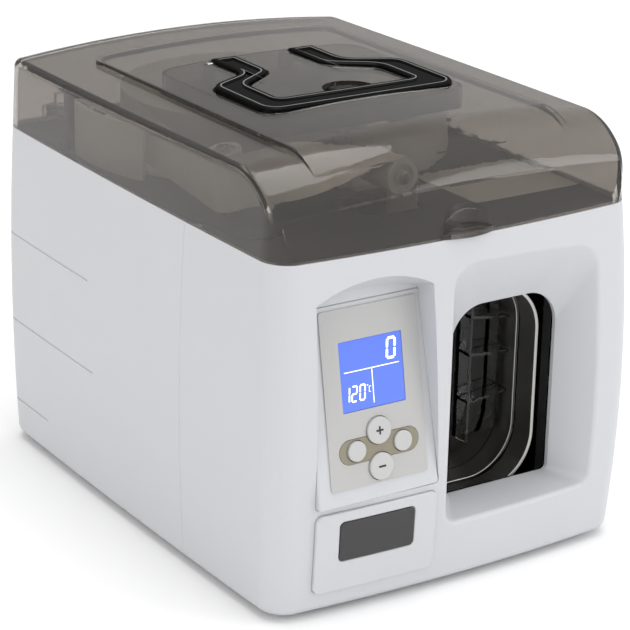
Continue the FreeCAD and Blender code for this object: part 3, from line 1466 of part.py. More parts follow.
def feed_shaft():
    """Steel shaft of the drive roller and gear."""
    start = V(feed_x_centre, frame_y0 + 0.2, feed_z)
    return rod(start, Y_AXIS, feed_shaft_radius, frame_y1 + frame_thickness + 1.0 + gear_width - frame_y0)


def pinch_roller():
    """Idle roller that presses the tape on the drive roller."""
    y0, length = roller_span()
    return ring(V(pinch_x, y0, feed_z), Y_AXIS, pinch_radius, 2.0, length)


def pinch_shaft():
    """Steel shaft of the pinch roller."""
    start = V(pinch_x, frame_y0 + 0.2, feed_z)
    return rod(start, Y_AXIS, 2.0, frame_y1 + frame_thickness + 0.5 - frame_y0)


def feed_gear():
    """Large gear on the drive roller's shaft."""
    y0 = frame_y1 + frame_thickness + 0.8
    gear = involute_gear(feed_teeth, 1.0, gear_width, V(feed_x_centre, y0, feed_z), 0.0)
    return gear.cut(rod(V(feed_x_centre, y0 - 1, feed_z), Y_AXIS, feed_shaft_radius, gear_width + 2))


def motor_pinion():
    """Motor's pinion and shaft."""
    y0 = frame_y1 + frame_thickness + 0.8
    gear = involute_gear(motor_teeth, 1.0, gear_width, V(motor_x, y0, feed_z), 15.0)
    shaft = rod(V(motor_x, frame_y1 - 10.0, feed_z), Y_AXIS, 1.5, 10.0 + frame_thickness + 2.0)
    return fuse([gear, shaft])


def feed_motor():
    """Feed motor inside the frame, against its rear plate."""
    length = frame_y1 - frame_y0 - frame_thickness - 3.0
    can = rod(V(motor_x, frame_y1 - length, feed_z), Y_AXIS, 13.0, length)
    bore = rod(V(motor_x, frame_y1 - 12.0, feed_z), Y_AXIS, 1.5 + run_gap, 13.0)
    return can.cut(bore)


# ---------------------------------------------------------------- electrics
board_z = base_top_z + 10.0
board_width = 80.0
board_depth = 95.0
board_x0 = -half_width + 20.5
board_x1 = board_x0 + board_width
board_y1 = rear_y - 41.0
board_y0 = board_y1 - board_depth
supply_width = 82.0
supply_depth = 95.0
supply_height = 38.0
supply_x = half_width - 20.5                 # supply's right side
supply_y = rear_y - 56.0                     # supply's rear


def standoff_places():
    """Corners of the main board."""
    return [(x, y) for x in (board_x0 + 4, board_x1 - 4) for y in (board_y0 + 4, board_y1 - 4)]


def main_board():
    """Control board with its larger components."""
    board = rounded_slab(board_x0, board_x1, board_y0, board_y1, 2.0, board_z, board_z + pcb_thickness)
    top = board_z + pcb_thickness
    parts = [board]
    for dx, dy, w, d, h in ((22, 23, 16, 16, 3), (52, 23, 20, 12, 8), (22, 58, 24, 10, 10),
                            (57, 61, 14, 24, 6), (37, 78, 40, 8, 9)):
        x = board_x0 + dx
        y = board_y0 + dy
        parts.append(box(x - w / 2, x + w / 2, y - d / 2, y + d / 2, top - 0.2, top + h))
    parts.append(rod(V(board_x0 + 8, board_y0 + 43, top - 0.2), Z_AXIS, 5.0, 16.0))
    return fuse(parts)


def power_supply():
    """Closed power supply on the floor plate."""
    x0 = supply_x - supply_width
    y0 = supply_y - supply_depth
    top = base_top_z + supply_height
    case = box(x0, supply_x, y0, supply_y, base_top_z, top)
    slots = [box(x0 - 5.0, supply_x + 5.0, y0 + 10.0 + 12 * i, y0 + 14.0 + 12 * i, top - 4.0, top + 2.0)
             for i in range(7)]
    return case.cut(slots)


inlet_face_y = rear_y - 0.25


def power_inlet(shell):
    """Three-pin mains inlet in the back wall."""
    body = box(inlet_x - inlet_width / 2, inlet_x + inlet_width / 2, inlet_face_y - 22.0,
               inlet_face_y + 1.5, inlet_z - inlet_height / 2, inlet_z + inlet_height / 2)
    flange = rounded_plate(inlet_x - inlet_width / 2 - 2.5, inlet_x + inlet_width / 2 + 2.5,
                           inlet_z - inlet_height / 2 - 2.5, inlet_z + inlet_height / 2 + 2.5,
                           [2.0] * 4, inlet_face_y - 1.0, inlet_face_y + 2.0)
    socket = rounded_plate(inlet_x - 12.0, inlet_x + 12.0, inlet_z - 8.0, inlet_z + 8.0,
                           [1.0, 1.0, 4.0, 4.0], inlet_face_y - 14.0, inlet_face_y + 5.0)
    blades = [box(inlet_x + dx - 1, inlet_x + dx + 1, inlet_face_y - 14.5, inlet_face_y - 4.0,
                  inlet_z + dz - 2, inlet_z + dz + 2) for dx, dz in ((-7, -2), (7, -2), (0, 2))]
    return fuse([body, flange]).cut(socket).fuse(blades).cut(shell).removeSplitter()


rocker_travel = 14.0
rocker_room = 1.5                            # for the rocker's ends, which swing outwards
bezel_wall = 1.5


def switch_bezel(shell):
    """Frame of the mains switch, let into the back wall."""
    body = box(switch_x - switch_width / 2, switch_x + switch_width / 2, inlet_face_y - 16.0,
               inlet_face_y + 1.5, inlet_z - switch_height / 2, inlet_z + switch_height / 2)
    flange = rounded_plate(switch_x - switch_width / 2 - 2, switch_x + switch_width / 2 + 2,
                           inlet_z - switch_height / 2 - 2, inlet_z + switch_height / 2 + 2,
                           [1.5] * 4, inlet_face_y - 1.0, inlet_face_y + 1.6)
    room = box(switch_x - switch_width / 2 + bezel_wall, switch_x + switch_width / 2 - bezel_wall,
               inlet_face_y - 12.0, inlet_face_y + 5.0,
               inlet_z - switch_height / 2 + bezel_wall, inlet_z + switch_height / 2 - bezel_wall)
    pivot = rod(V(switch_x - switch_width / 2 + 0.4, inlet_face_y - 3.5, inlet_z), X_AXIS, 1.0,
                switch_width - 0.8)
    return fuse([body, flange]).cut(room).cut(pivot).cut(shell).removeSplitter()


def power_switch():
    """Rocker of the mains switch on its pivot."""
    half = switch_height / 2 - bezel_wall - rocker_room
    y = inlet_face_y - 3.5
    x0 = switch_x - switch_width / 2 + bezel_wall + move_gap
    width = switch_width - 2 * bezel_wall - 2 * move_gap
    points = [V(x0, y - 4.5, inlet_z - 4.0), V(x0, y - 4.5, inlet_z + 4.0),
              V(x0, y + 4.2, inlet_z + half), V(x0, y + 5.6, inlet_z + half - 0.8),
              V(x0, y + 4.4, inlet_z), V(x0, y + 3.6, inlet_z - half + 0.4),
              V(x0, y + 2.0, inlet_z - half)]
    rocker = prism(points, V(width, 0, 0))
    pivot = rod(V(switch_x - switch_width / 2 + 0.45, y, inlet_z), X_AXIS, 1.0 - run_gap,
                switch_width - 0.9)
    return fuse([rocker, pivot])


# ---------------------------------------------------------------- export
def build():
    """Every node of the machine by name."""
    blank = housing_blank()
    rear = rear_housing(blank)
    pieces = {
        "front_housing": front_housing(blank),
        "rear_housing": rear,
        "lid_hinge_pins": lid_hinge_pins(),
        "base_plate": base_plate(),
        "rubber_feet": rubber_feet(),
        "top_deck": top_deck(),
        "deck_screws": deck_screws(),
        "lid": lid(),
        "carry_handle": carry_handle(),
        "handle_pins": handle_pins(),
        "control_console": control_console(),
        "console_faceplate": console_faceplate(),
        "key_inlay": key_inlay(),
        "lcd_display": lcd_display(),
        "console_pcb": console_pcb(),
        "lower_cover": lower_cover(),
        "blank_nameplate": blank_nameplate(),
        "reel_spindle": reel_spindle(),
        "reel_plate": reel_plate(),
        "paper_roll": paper_roll(),
        "roll_core": roll_core(),
        "roll_clamp_knob": roll_clamp_knob(),
        "tape_guide_wall": tape_guide_wall(),
        "guide_roller": guide_roller(),
        "corner_roller": corner_roller(),
        "tension_roller": tension_roller(),
        "roller_pins": roller_pins(),
        "corner_guide": corner_guide(),
        "roll_sensor": roll_sensor(),
        "paper_tape": paper_tape(),
        "loop_front_plate": loop_front_plate(),
        "front_track_rail": track_rail(front_rail_y, front_rail_y + rail_width),
        "rear_track_rail": track_rail(rear_rail_y, rear_rail_y + rail_width),
        "mechanism_plate": mechanism_plate(),
        "note_stop": note_stop(),
        "clear_tape_guide": clear_tape_guide(),
        "head_guide_block": head_guide_block(),
        "press_carriage": press_carriage(),
        "heater_plate": heater_plate(),
        "cutter_blade": cutter_blade(),
        "anvil_plate": anvil_plate(),
        "press_pinion": press_pinion(),
        "press_motor": press_motor(),
        "feed_frame": feed_frame(),
        "feed_roller": feed_roller(),
        "feed_shaft": feed_shaft(),
        "pinch_roller": pinch_roller(),
        "pinch_shaft": pinch_shaft(),
        "feed_gear": feed_gear(),
        "motor_pinion": motor_pinion(),
        "feed_motor": feed_motor(),
        "main_board": main_board(),
        "power_supply": power_supply(),
        "power_inlet": power_inlet(rear),
        "switch_bezel": switch_bezel(rear),
        "power_switch": power_switch(),
    }
    for name in key_places():
        pieces[name] = push_button(name)
    return pieces


def main():
    """Write one STEP file for every node."""
    os.makedirs("parts", exist_ok=True)
    for name, shape in build().items():
        shape.exportStep("parts/" + name + ".step")


if __name__ == "__main__":
    main()
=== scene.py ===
"""Looks of the banknote strapping machine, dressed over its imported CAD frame.

Every length is in metres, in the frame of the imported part: +X to the right for someone facing the
front, front towards -Y, +Z up, origin on the table under the centre of the machine.
"""

import json
import logging
import math
from dataclasses import dataclass
from enum import Enum
from typing import Callable, Dict, Iterable, List, Sequence, Tuple

import bmesh
import bpy
from mathutils import Matrix, Vector

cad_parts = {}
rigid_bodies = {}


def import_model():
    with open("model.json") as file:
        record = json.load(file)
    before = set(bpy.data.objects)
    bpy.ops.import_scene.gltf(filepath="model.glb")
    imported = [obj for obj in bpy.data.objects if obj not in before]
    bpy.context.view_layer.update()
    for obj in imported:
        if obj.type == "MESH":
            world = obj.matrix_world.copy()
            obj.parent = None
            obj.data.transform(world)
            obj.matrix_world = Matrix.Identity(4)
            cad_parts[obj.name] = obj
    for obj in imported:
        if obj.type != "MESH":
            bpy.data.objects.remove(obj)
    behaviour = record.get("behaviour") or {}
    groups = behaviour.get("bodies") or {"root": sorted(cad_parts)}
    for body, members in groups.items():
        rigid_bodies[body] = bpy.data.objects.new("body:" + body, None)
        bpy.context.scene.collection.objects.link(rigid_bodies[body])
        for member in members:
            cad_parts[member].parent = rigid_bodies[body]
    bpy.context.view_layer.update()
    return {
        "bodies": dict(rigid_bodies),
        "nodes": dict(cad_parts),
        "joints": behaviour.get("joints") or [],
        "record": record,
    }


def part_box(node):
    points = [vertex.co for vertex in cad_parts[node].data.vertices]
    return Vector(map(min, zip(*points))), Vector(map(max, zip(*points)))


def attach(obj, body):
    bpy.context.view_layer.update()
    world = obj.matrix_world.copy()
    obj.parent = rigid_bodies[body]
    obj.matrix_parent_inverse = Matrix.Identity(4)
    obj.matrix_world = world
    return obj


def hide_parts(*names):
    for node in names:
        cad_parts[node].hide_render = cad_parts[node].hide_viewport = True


LOG = logging.getLogger("bander")
MM = 0.001
Colour = Tuple[float, float, float]
Pair = Tuple[float, float]

COAT_ROUGHNESS = 0.06
LEAST_ROUGHNESS = 0.02
BUMP_DISTANCE = 0.4 * MM
DRIFT_SCALE = 14.0                      # cells per metre of the slow colour drift
GLOSS_SCALE = 55.0                      # cells per metre of the slow gloss drift
MERGE_DISTANCE = 0.004 * MM
FLAT_ANGLE = math.radians(0.15)         # faces that bend less are made one
SHARP_ANGLE = math.radians(30.0)        # edges that bend more are softened
X_AXIS = Vector((1.0, 0.0, 0.0))
Y_AXIS = Vector((0.0, 1.0, 0.0))


class Finish(Enum):
    """Surface finishes of the machine's pieces."""

    HOUSING = "housing"
    OVERLAY = "overlay"
    KHAKI = "khaki"
    KEY = "key"
    DISPLAY = "display"
    NAMEPLATE = "nameplate"
    SMOKED = "smoked"
    HANDLE = "handle"
    HANDLE_PAINTED_HIGHLIGHT = "handle_line"
    BRIGHT_STEEL = "bright_steel"
    DECK = "deck"
    DARK_PLASTIC = "dark_plastic"
    WHITE_PLASTIC = "white_plastic"
    PAPER = "paper"
    WOUND_PAPER = "wound_paper"
    CARD = "card"
    SHEET_STEEL = "sheet_steel"
    BLACK_STEEL_AND_PAINTED_SHADE = "black_steel"
    RAIL = "rail"
    CAST_METAL = "cast_metal"
    BRASS = "brass"
    BLADE = "blade"
    CLEAR = "clear"
    MOTOR = "motor"
    GEAR = "gear"
    RUBBER = "rubber"
    BOARD = "board"
    BLACK_PLASTIC = "black_plastic"
    LIT_SIGN = "lit_sign"
    KEY_SIGN = "key_sign"
    LABEL = "label"


@dataclass(frozen=True)
class SurfaceSpec:
    """Numbers of one procedural surface.

    Attributes:
        colour: Linear base colour.
        roughness: Mean roughness.
        metallic: 1 for bare metal.
        grain_scale: Cells of the fine texture per metre.
        grain_depth: Bump strength of the fine texture.
        mottle: Share by which the colour drifts over the surface.
        gloss_drift: Amount by which the roughness drifts.
        coat: Weight of a clear top layer.
        alpha: Opacity.
        transmission: Share of light refracted through.
        ior: Index of refraction.
        specular: Strength of the reflection; 0.5 is that of the index.
        emission: Light given off.
        stretch: Scale of the texture along X, Y and Z, for brushed metal.
    """

    colour: Colour
    roughness: float = 0.4
    metallic: float = 0.0
    grain_scale: float = 900.0
    grain_depth: float = 0.05
    mottle: float = 0.04
    gloss_drift: float = 0.06
    coat: float = 0.0
    alpha: float = 1.0
    transmission: float = 0.0
    ior: float = 1.49
    specular: float = 0.5
    emission: float = 0.0
    stretch: Colour = (1.0, 1.0, 1.0)


SURFACES: Dict[Finish, SurfaceSpec] = {
    Finish.HOUSING: SurfaceSpec((0.545, 0.55, 0.57), 0.40, grain_scale=2600, grain_depth=0.035, mottle=0.012),
    Finish.OVERLAY: SurfaceSpec((0.45, 0.445, 0.44), 0.33, grain_scale=4200, grain_depth=0.02, mottle=0.02),
    Finish.KHAKI: SurfaceSpec((0.250, 0.225, 0.165), 0.42, grain_scale=4200, grain_depth=0.02),
    Finish.KEY: SurfaceSpec((0.49, 0.49, 0.485), 0.34, grain_scale=3000, grain_depth=0.02, mottle=0.02),
    Finish.DISPLAY: SurfaceSpec((0.080, 0.145, 0.60), 0.14, grain_scale=5200, grain_depth=0.004,
                                mottle=0.06, emission=0.55),
    Finish.NAMEPLATE: SurfaceSpec((0.020, 0.019, 0.019), 0.24, grain_scale=2400, grain_depth=0.012,
                                  mottle=0.10, coat=0.3),
    Finish.SMOKED: SurfaceSpec((0.43, 0.40, 0.372), 0.02, grain_scale=90, grain_depth=0.0,
                               mottle=0.02, gloss_drift=0.0, transmission=0.95, ior=1.40),
    Finish.HANDLE: SurfaceSpec((0.004, 0.004, 0.004), 0.10, grain_scale=500, grain_depth=0.0,
                               mottle=0.05, gloss_drift=0.02, specular=0.0, coat=0.15),
    # Grey ring on the handle's top: a painted highlight for the light caught by the handle's rounded rim.
    Finish.HANDLE_PAINTED_HIGHLIGHT: SurfaceSpec((0.17, 0.17, 0.165), 0.30, grain_scale=900, grain_depth=0.0),
    Finish.BRIGHT_STEEL: SurfaceSpec((0.66, 0.66, 0.67), 0.18, 1.0, grain_scale=900, grain_depth=0.02),
    Finish.DECK: SurfaceSpec((0.020, 0.020, 0.022), 0.42, grain_scale=1800, grain_depth=0.06),
    Finish.DARK_PLASTIC: SurfaceSpec((0.016, 0.016, 0.018), 0.40, grain_scale=1800, grain_depth=0.05),
    Finish.WHITE_PLASTIC: SurfaceSpec((0.80, 0.79, 0.76), 0.38, grain_scale=1600, grain_depth=0.03),
    Finish.PAPER: SurfaceSpec((0.82, 0.80, 0.75), 0.62, grain_scale=3200, grain_depth=0.05, mottle=0.03),
    Finish.CARD: SurfaceSpec((0.34, 0.24, 0.14), 0.75, grain_scale=1500, grain_depth=0.12, mottle=0.12),
    Finish.SHEET_STEEL: SurfaceSpec((0.40, 0.41, 0.42), 0.30, 1.0, grain_scale=260, grain_depth=0.05,
                                    mottle=0.10, gloss_drift=0.12),
    # Blackened sheet steel; its near-black colour also paints the shade inside the closed opening.
    Finish.BLACK_STEEL_AND_PAINTED_SHADE: SurfaceSpec((0.020, 0.019, 0.017), 0.26, 0.7, grain_scale=60, grain_depth=0.0,
                                    mottle=0.20, gloss_drift=0.08),
    Finish.RAIL: SurfaceSpec((0.46, 0.45, 0.43), 0.34, 1.0, grain_scale=60, grain_depth=0.0,
                             mottle=0.12, gloss_drift=0.06, stretch=(1.0, 0.10, 1.0)),
    Finish.CAST_METAL: SurfaceSpec((0.30, 0.30, 0.30), 0.40, 1.0, grain_scale=700, grain_depth=0.12,
                                   mottle=0.08, gloss_drift=0.12),
    Finish.BRASS: SurfaceSpec((0.56, 0.40, 0.17), 0.28, 1.0, grain_scale=600, grain_depth=0.05, mottle=0.12),
    Finish.BLADE: SurfaceSpec((0.55, 0.56, 0.58), 0.22, 1.0, grain_scale=1800, grain_depth=0.06,
                              stretch=(1.0, 0.06, 1.0)),
    Finish.CLEAR: SurfaceSpec((0.95, 0.96, 0.96), 0.02, grain_scale=200, grain_depth=0.0,
                              mottle=0.01, gloss_drift=0.0, transmission=1.0, ior=1.45),
    Finish.MOTOR: SurfaceSpec((0.035, 0.035, 0.037), 0.36, 0.6, grain_scale=900, grain_depth=0.05),
    Finish.GEAR: SurfaceSpec((0.56, 0.54, 0.46), 0.45, grain_scale=900, grain_depth=0.04),
    Finish.RUBBER: SurfaceSpec((0.012, 0.012, 0.012), 0.72, grain_scale=1400, grain_depth=0.15, mottle=0.15),
    Finish.BOARD: SurfaceSpec((0.012, 0.060, 0.024), 0.34, grain_scale=600, grain_depth=0.06, mottle=0.2),
    Finish.BLACK_PLASTIC: SurfaceSpec((0.010, 0.010, 0.011), 0.35, grain_scale=1600, grain_depth=0.05),
    Finish.LIT_SIGN: SurfaceSpec((0.86, 0.89, 0.96), 0.30, grain_scale=2000, grain_depth=0.0, emission=0.75),
    Finish.KEY_SIGN: SurfaceSpec((0.014, 0.014, 0.015), 0.50, grain_scale=2000, grain_depth=0.0),
    Finish.LABEL: SurfaceSpec((0.72, 0.70, 0.65), 0.40, grain_scale=2000, grain_depth=0.02, mottle=0.05),
}


# ---------------------------------------------------------------- materials
class ShaderGroups:
    """Node groups that the procedural surfaces share."""

    def __init__(self) -> None:
        """Build both groups."""
        self.grain = self._grain_group()
        self.winding = self._winding_group()

    @staticmethod
    def _grain_group() -> bpy.types.NodeTree:
        """Fine texture, slow colour drift and slow gloss drift in object space.

        Returns:
            Group with inputs Scale and Stretch and outputs Grain, Drift and Gloss.
        """
        tree = bpy.data.node_groups.new("SurfaceGrain", "ShaderNodeTree")
        face = tree.interface
        face.new_socket(name="Scale", in_out="INPUT", socket_type="NodeSocketFloat")
        face.new_socket(name="Stretch", in_out="INPUT", socket_type="NodeSocketVector")
        for name in ("Grain", "Drift", "Gloss"):
            face.new_socket(name=name, in_out="OUTPUT", socket_type="NodeSocketFloat")
        nodes = tree.nodes
        links = tree.links
        entry = nodes.new("NodeGroupInput")
        leave = nodes.new("NodeGroupOutput")
        place = nodes.new("ShaderNodeTexCoord")
        stretch = nodes.new("ShaderNodeVectorMath")
        stretch.operation = "MULTIPLY"
        links.new(place.outputs["Object"], stretch.inputs[0])
        links.new(entry.outputs["Stretch"], stretch.inputs[1])
        fine = nodes.new("ShaderNodeTexNoise")
        fine.inputs["Detail"].default_value = 3.0
        fine.inputs["Roughness"].default_value = 0.55
        links.new(stretch.outputs[0], fine.inputs["Vector"])
        links.new(entry.outputs["Scale"], fine.inputs["Scale"])
        links.new(fine.outputs["Fac"], leave.inputs["Grain"])
        for name, scale in (("Drift", DRIFT_SCALE), ("Gloss", GLOSS_SCALE)):
            slow = nodes.new("ShaderNodeTexNoise")
            slow.inputs["Scale"].default_value = scale
            slow.inputs["Detail"].default_value = 4.0
            links.new(stretch.outputs[0], slow.inputs["Vector"])
            links.new(slow.outputs["Fac"], leave.inputs[name])
        return tree

    @staticmethod
    def _winding_group() -> bpy.types.NodeTree:
        """Fine concentric turns of a wound roll about an upright axis.

        Returns:
            Group with inputs Centre and Pitch and output Turns.
        """
        tree = bpy.data.node_groups.new("WoundTurns", "ShaderNodeTree")
        face = tree.interface
        face.new_socket(name="Centre", in_out="INPUT", socket_type="NodeSocketVector")
        face.new_socket(name="Pitch", in_out="INPUT", socket_type="NodeSocketFloat")
        face.new_socket(name="Turns", in_out="OUTPUT", socket_type="NodeSocketFloat")
        nodes = tree.nodes
        links = tree.links
        entry = nodes.new("NodeGroupInput")
        leave = nodes.new("NodeGroupOutput")
        place = nodes.new("ShaderNodeTexCoord")
        offset = nodes.new("ShaderNodeVectorMath")
        offset.operation = "SUBTRACT"
        flat = nodes.new("ShaderNodeVectorMath")
        flat.operation = "MULTIPLY"
        flat.inputs[1].default_value = (1.0, 1.0, 0.0)
        length = nodes.new("ShaderNodeVectorMath")
        length.operation = "LENGTH"
        divide = nodes.new("ShaderNodeMath")
        divide.operation = "DIVIDE"
        noise = nodes.new("ShaderNodeTexNoise")
        noise.noise_dimensions = "1D"
        noise.inputs["Scale"].default_value = 1.0
        noise.inputs["Detail"].default_value = 2.0
        links.new(place.outputs["Object"], offset.inputs[0])
        links.new(entry.outputs["Centre"], offset.inputs[1])
        links.new(offset.outputs[0], flat.inputs[0])
        links.new(flat.outputs[0], length.inputs[0])
        links.new(length.outputs["Value"], divide.inputs[0])
        links.new(entry.outputs["Pitch"], divide.inputs[1])
        links.new(divide.outputs[0], noise.inputs["W"])
        links.new(noise.outputs["Fac"], leave.inputs["Turns"])
        return tree


class MaterialLibrary:
    """Makes and keeps one procedural material per finish.

    Attributes:
        TURN_PITCH: Distance between the paper roll's drawn turns.
        TURN_DEPTH: Bump strength of those turns.
        TURN_ROUGHNESS: Roughness of the wound paper.
        TURN_TONES: Place on the noise and linear colour of the darkest and palest turns.
    """

    TURN_PITCH = 0.5 * MM
    TURN_DEPTH = 0.25
    TURN_ROUGHNESS = 0.65
    TURN_TONES = ((0.35, (0.62, 0.59, 0.53)), (0.62, (0.84, 0.82, 0.77)))

    def __init__(self, roll_centre: Vector) -> None:
        """Args:
            roll_centre: A point on the paper roll's axis.
        """
        self._groups = ShaderGroups()
        self._made: Dict[Finish, bpy.types.Material] = {}
        self._roll_centre = roll_centre

    def get(self, finish: Finish) -> bpy.types.Material:
        """Args:
            finish: The surface wanted.

        Returns:
            Its material, made on first use.
        """
        if finish not in self._made:
            if finish is Finish.WOUND_PAPER:
                self._made[finish] = self._wound_paper()
            else:
                self._made[finish] = self._surface(finish, SURFACES[finish])
        return self._made[finish]

    def _surface(self, finish: Finish, spec: SurfaceSpec) -> bpy.types.Material:
        """Principled surface with grain bump, colour drift and gloss drift."""
        material = bpy.data.materials.new("bander_" + finish.value)
        material.use_nodes = True
        tree = material.node_tree
        nodes = tree.nodes
        links = tree.links
        shader = nodes["Principled BSDF"]
        shader.inputs["Metallic"].default_value = spec.metallic
        shader.inputs["IOR"].default_value = spec.ior
        shader.inputs["Specular IOR Level"].default_value = spec.specular
        shader.inputs["Coat Weight"].default_value = spec.coat
        shader.inputs["Coat Roughness"].default_value = COAT_ROUGHNESS
        shader.inputs["Alpha"].default_value = spec.alpha
        shader.inputs["Transmission Weight"].default_value = spec.transmission
        grain = nodes.new("ShaderNodeGroup")
        grain.node_tree = self._groups.grain
        grain.inputs["Scale"].default_value = spec.grain_scale
        grain.inputs["Stretch"].default_value = spec.stretch
        tint = nodes.new("ShaderNodeMix")
        tint.data_type = "RGBA"
        low = [c * (1.0 - spec.mottle) for c in spec.colour]
        high = [min(1.0, c * (1.0 + spec.mottle)) for c in spec.colour]
        tint.inputs["A"].default_value = (*low, 1.0)
        tint.inputs["B"].default_value = (*high, 1.0)
        links.new(grain.outputs["Drift"], tint.inputs["Factor"])
        links.new(tint.outputs["Result"], shader.inputs["Base Color"])
        gloss = nodes.new("ShaderNodeMapRange")
        gloss.inputs["To Min"].default_value = max(LEAST_ROUGHNESS,
                                                      spec.roughness - spec.gloss_drift)
        gloss.inputs["To Max"].default_value = spec.roughness + spec.gloss_drift
        links.new(grain.outputs["Gloss"], gloss.inputs["Value"])
        links.new(gloss.outputs["Result"], shader.inputs["Roughness"])
        if spec.grain_depth > 0.0:
            bump = nodes.new("ShaderNodeBump")
            bump.inputs["Strength"].default_value = spec.grain_depth
            bump.inputs["Distance"].default_value = BUMP_DISTANCE
            links.new(grain.outputs["Grain"], bump.inputs["Height"])
            links.new(bump.outputs["Normal"], shader.inputs["Normal"])
        if spec.emission > 0.0:
            shader.inputs["Emission Color"].default_value = (*spec.colour, 1.0)
            shader.inputs["Emission Strength"].default_value = spec.emission
        material.diffuse_color = (*spec.colour, spec.alpha)
        return material

    def _wound_paper(self) -> bpy.types.Material:
        """Paper whose ends show the roll's turns."""
        material = bpy.data.materials.new("bander_wound_paper")
        material.use_nodes = True
        tree = material.node_tree
        nodes = tree.nodes
        links = tree.links
        shader = nodes["Principled BSDF"]
        shader.inputs["Roughness"].default_value = self.TURN_ROUGHNESS
        turns = nodes.new("ShaderNodeGroup")
        turns.node_tree = self._groups.winding
        turns.inputs["Centre"].default_value = self._roll_centre
        turns.inputs["Pitch"].default_value = self.TURN_PITCH
        ramp = nodes.new("ShaderNodeValToRGB")
        for element, (place, colour) in zip(ramp.color_ramp.elements, self.TURN_TONES):
            element.position = place
            element.color = (*colour, 1.0)
        bump = nodes.new("ShaderNodeBump")
        bump.inputs["Strength"].default_value = self.TURN_DEPTH
        bump.inputs["Distance"].default_value = BUMP_DISTANCE
        links.new(turns.outputs["Turns"], ramp.inputs["Fac"])
        links.new(turns.outputs["Turns"], bump.inputs["Height"])
        links.new(ramp.outputs["Color"], shader.inputs["Base Color"])
        links.new(bump.outputs["Normal"], shader.inputs["Normal"])
        return material


# ---------------------------------------------------------------- workshop
@dataclass(frozen=True)
class WorkPlane:
    """A flat work plane.

    Attributes:
        origin: Point with coordinates (0, 0).
        right: Unit vector of the first coordinate.
        up: Unit vector of the second coordinate.
    """

    origin: Vector
    right: Vector
    up: Vector

    @property
    def out(self) -> Vector:
        """Outward normal."""
        return self.right.cross(self.up).normalized()

    def place(self, u: float, v: float, height: float, turn: float = 0.0) -> Matrix:
        """Args:
            u: First coordinate.
            v: Second coordinate.
            height: Distance along the outward normal.
            turn: Turn about the normal, in radians.

        Returns:
            Matrix from a shape about its own centre to its place on the plane.
        """
        matrix = Matrix((self.right, self.up, self.out)).transposed().to_4x4()
        matrix.translation = self.origin + self.right * u + self.up * v + self.out * height
        return matrix @ Matrix.Rotation(turn, 4, "Z")


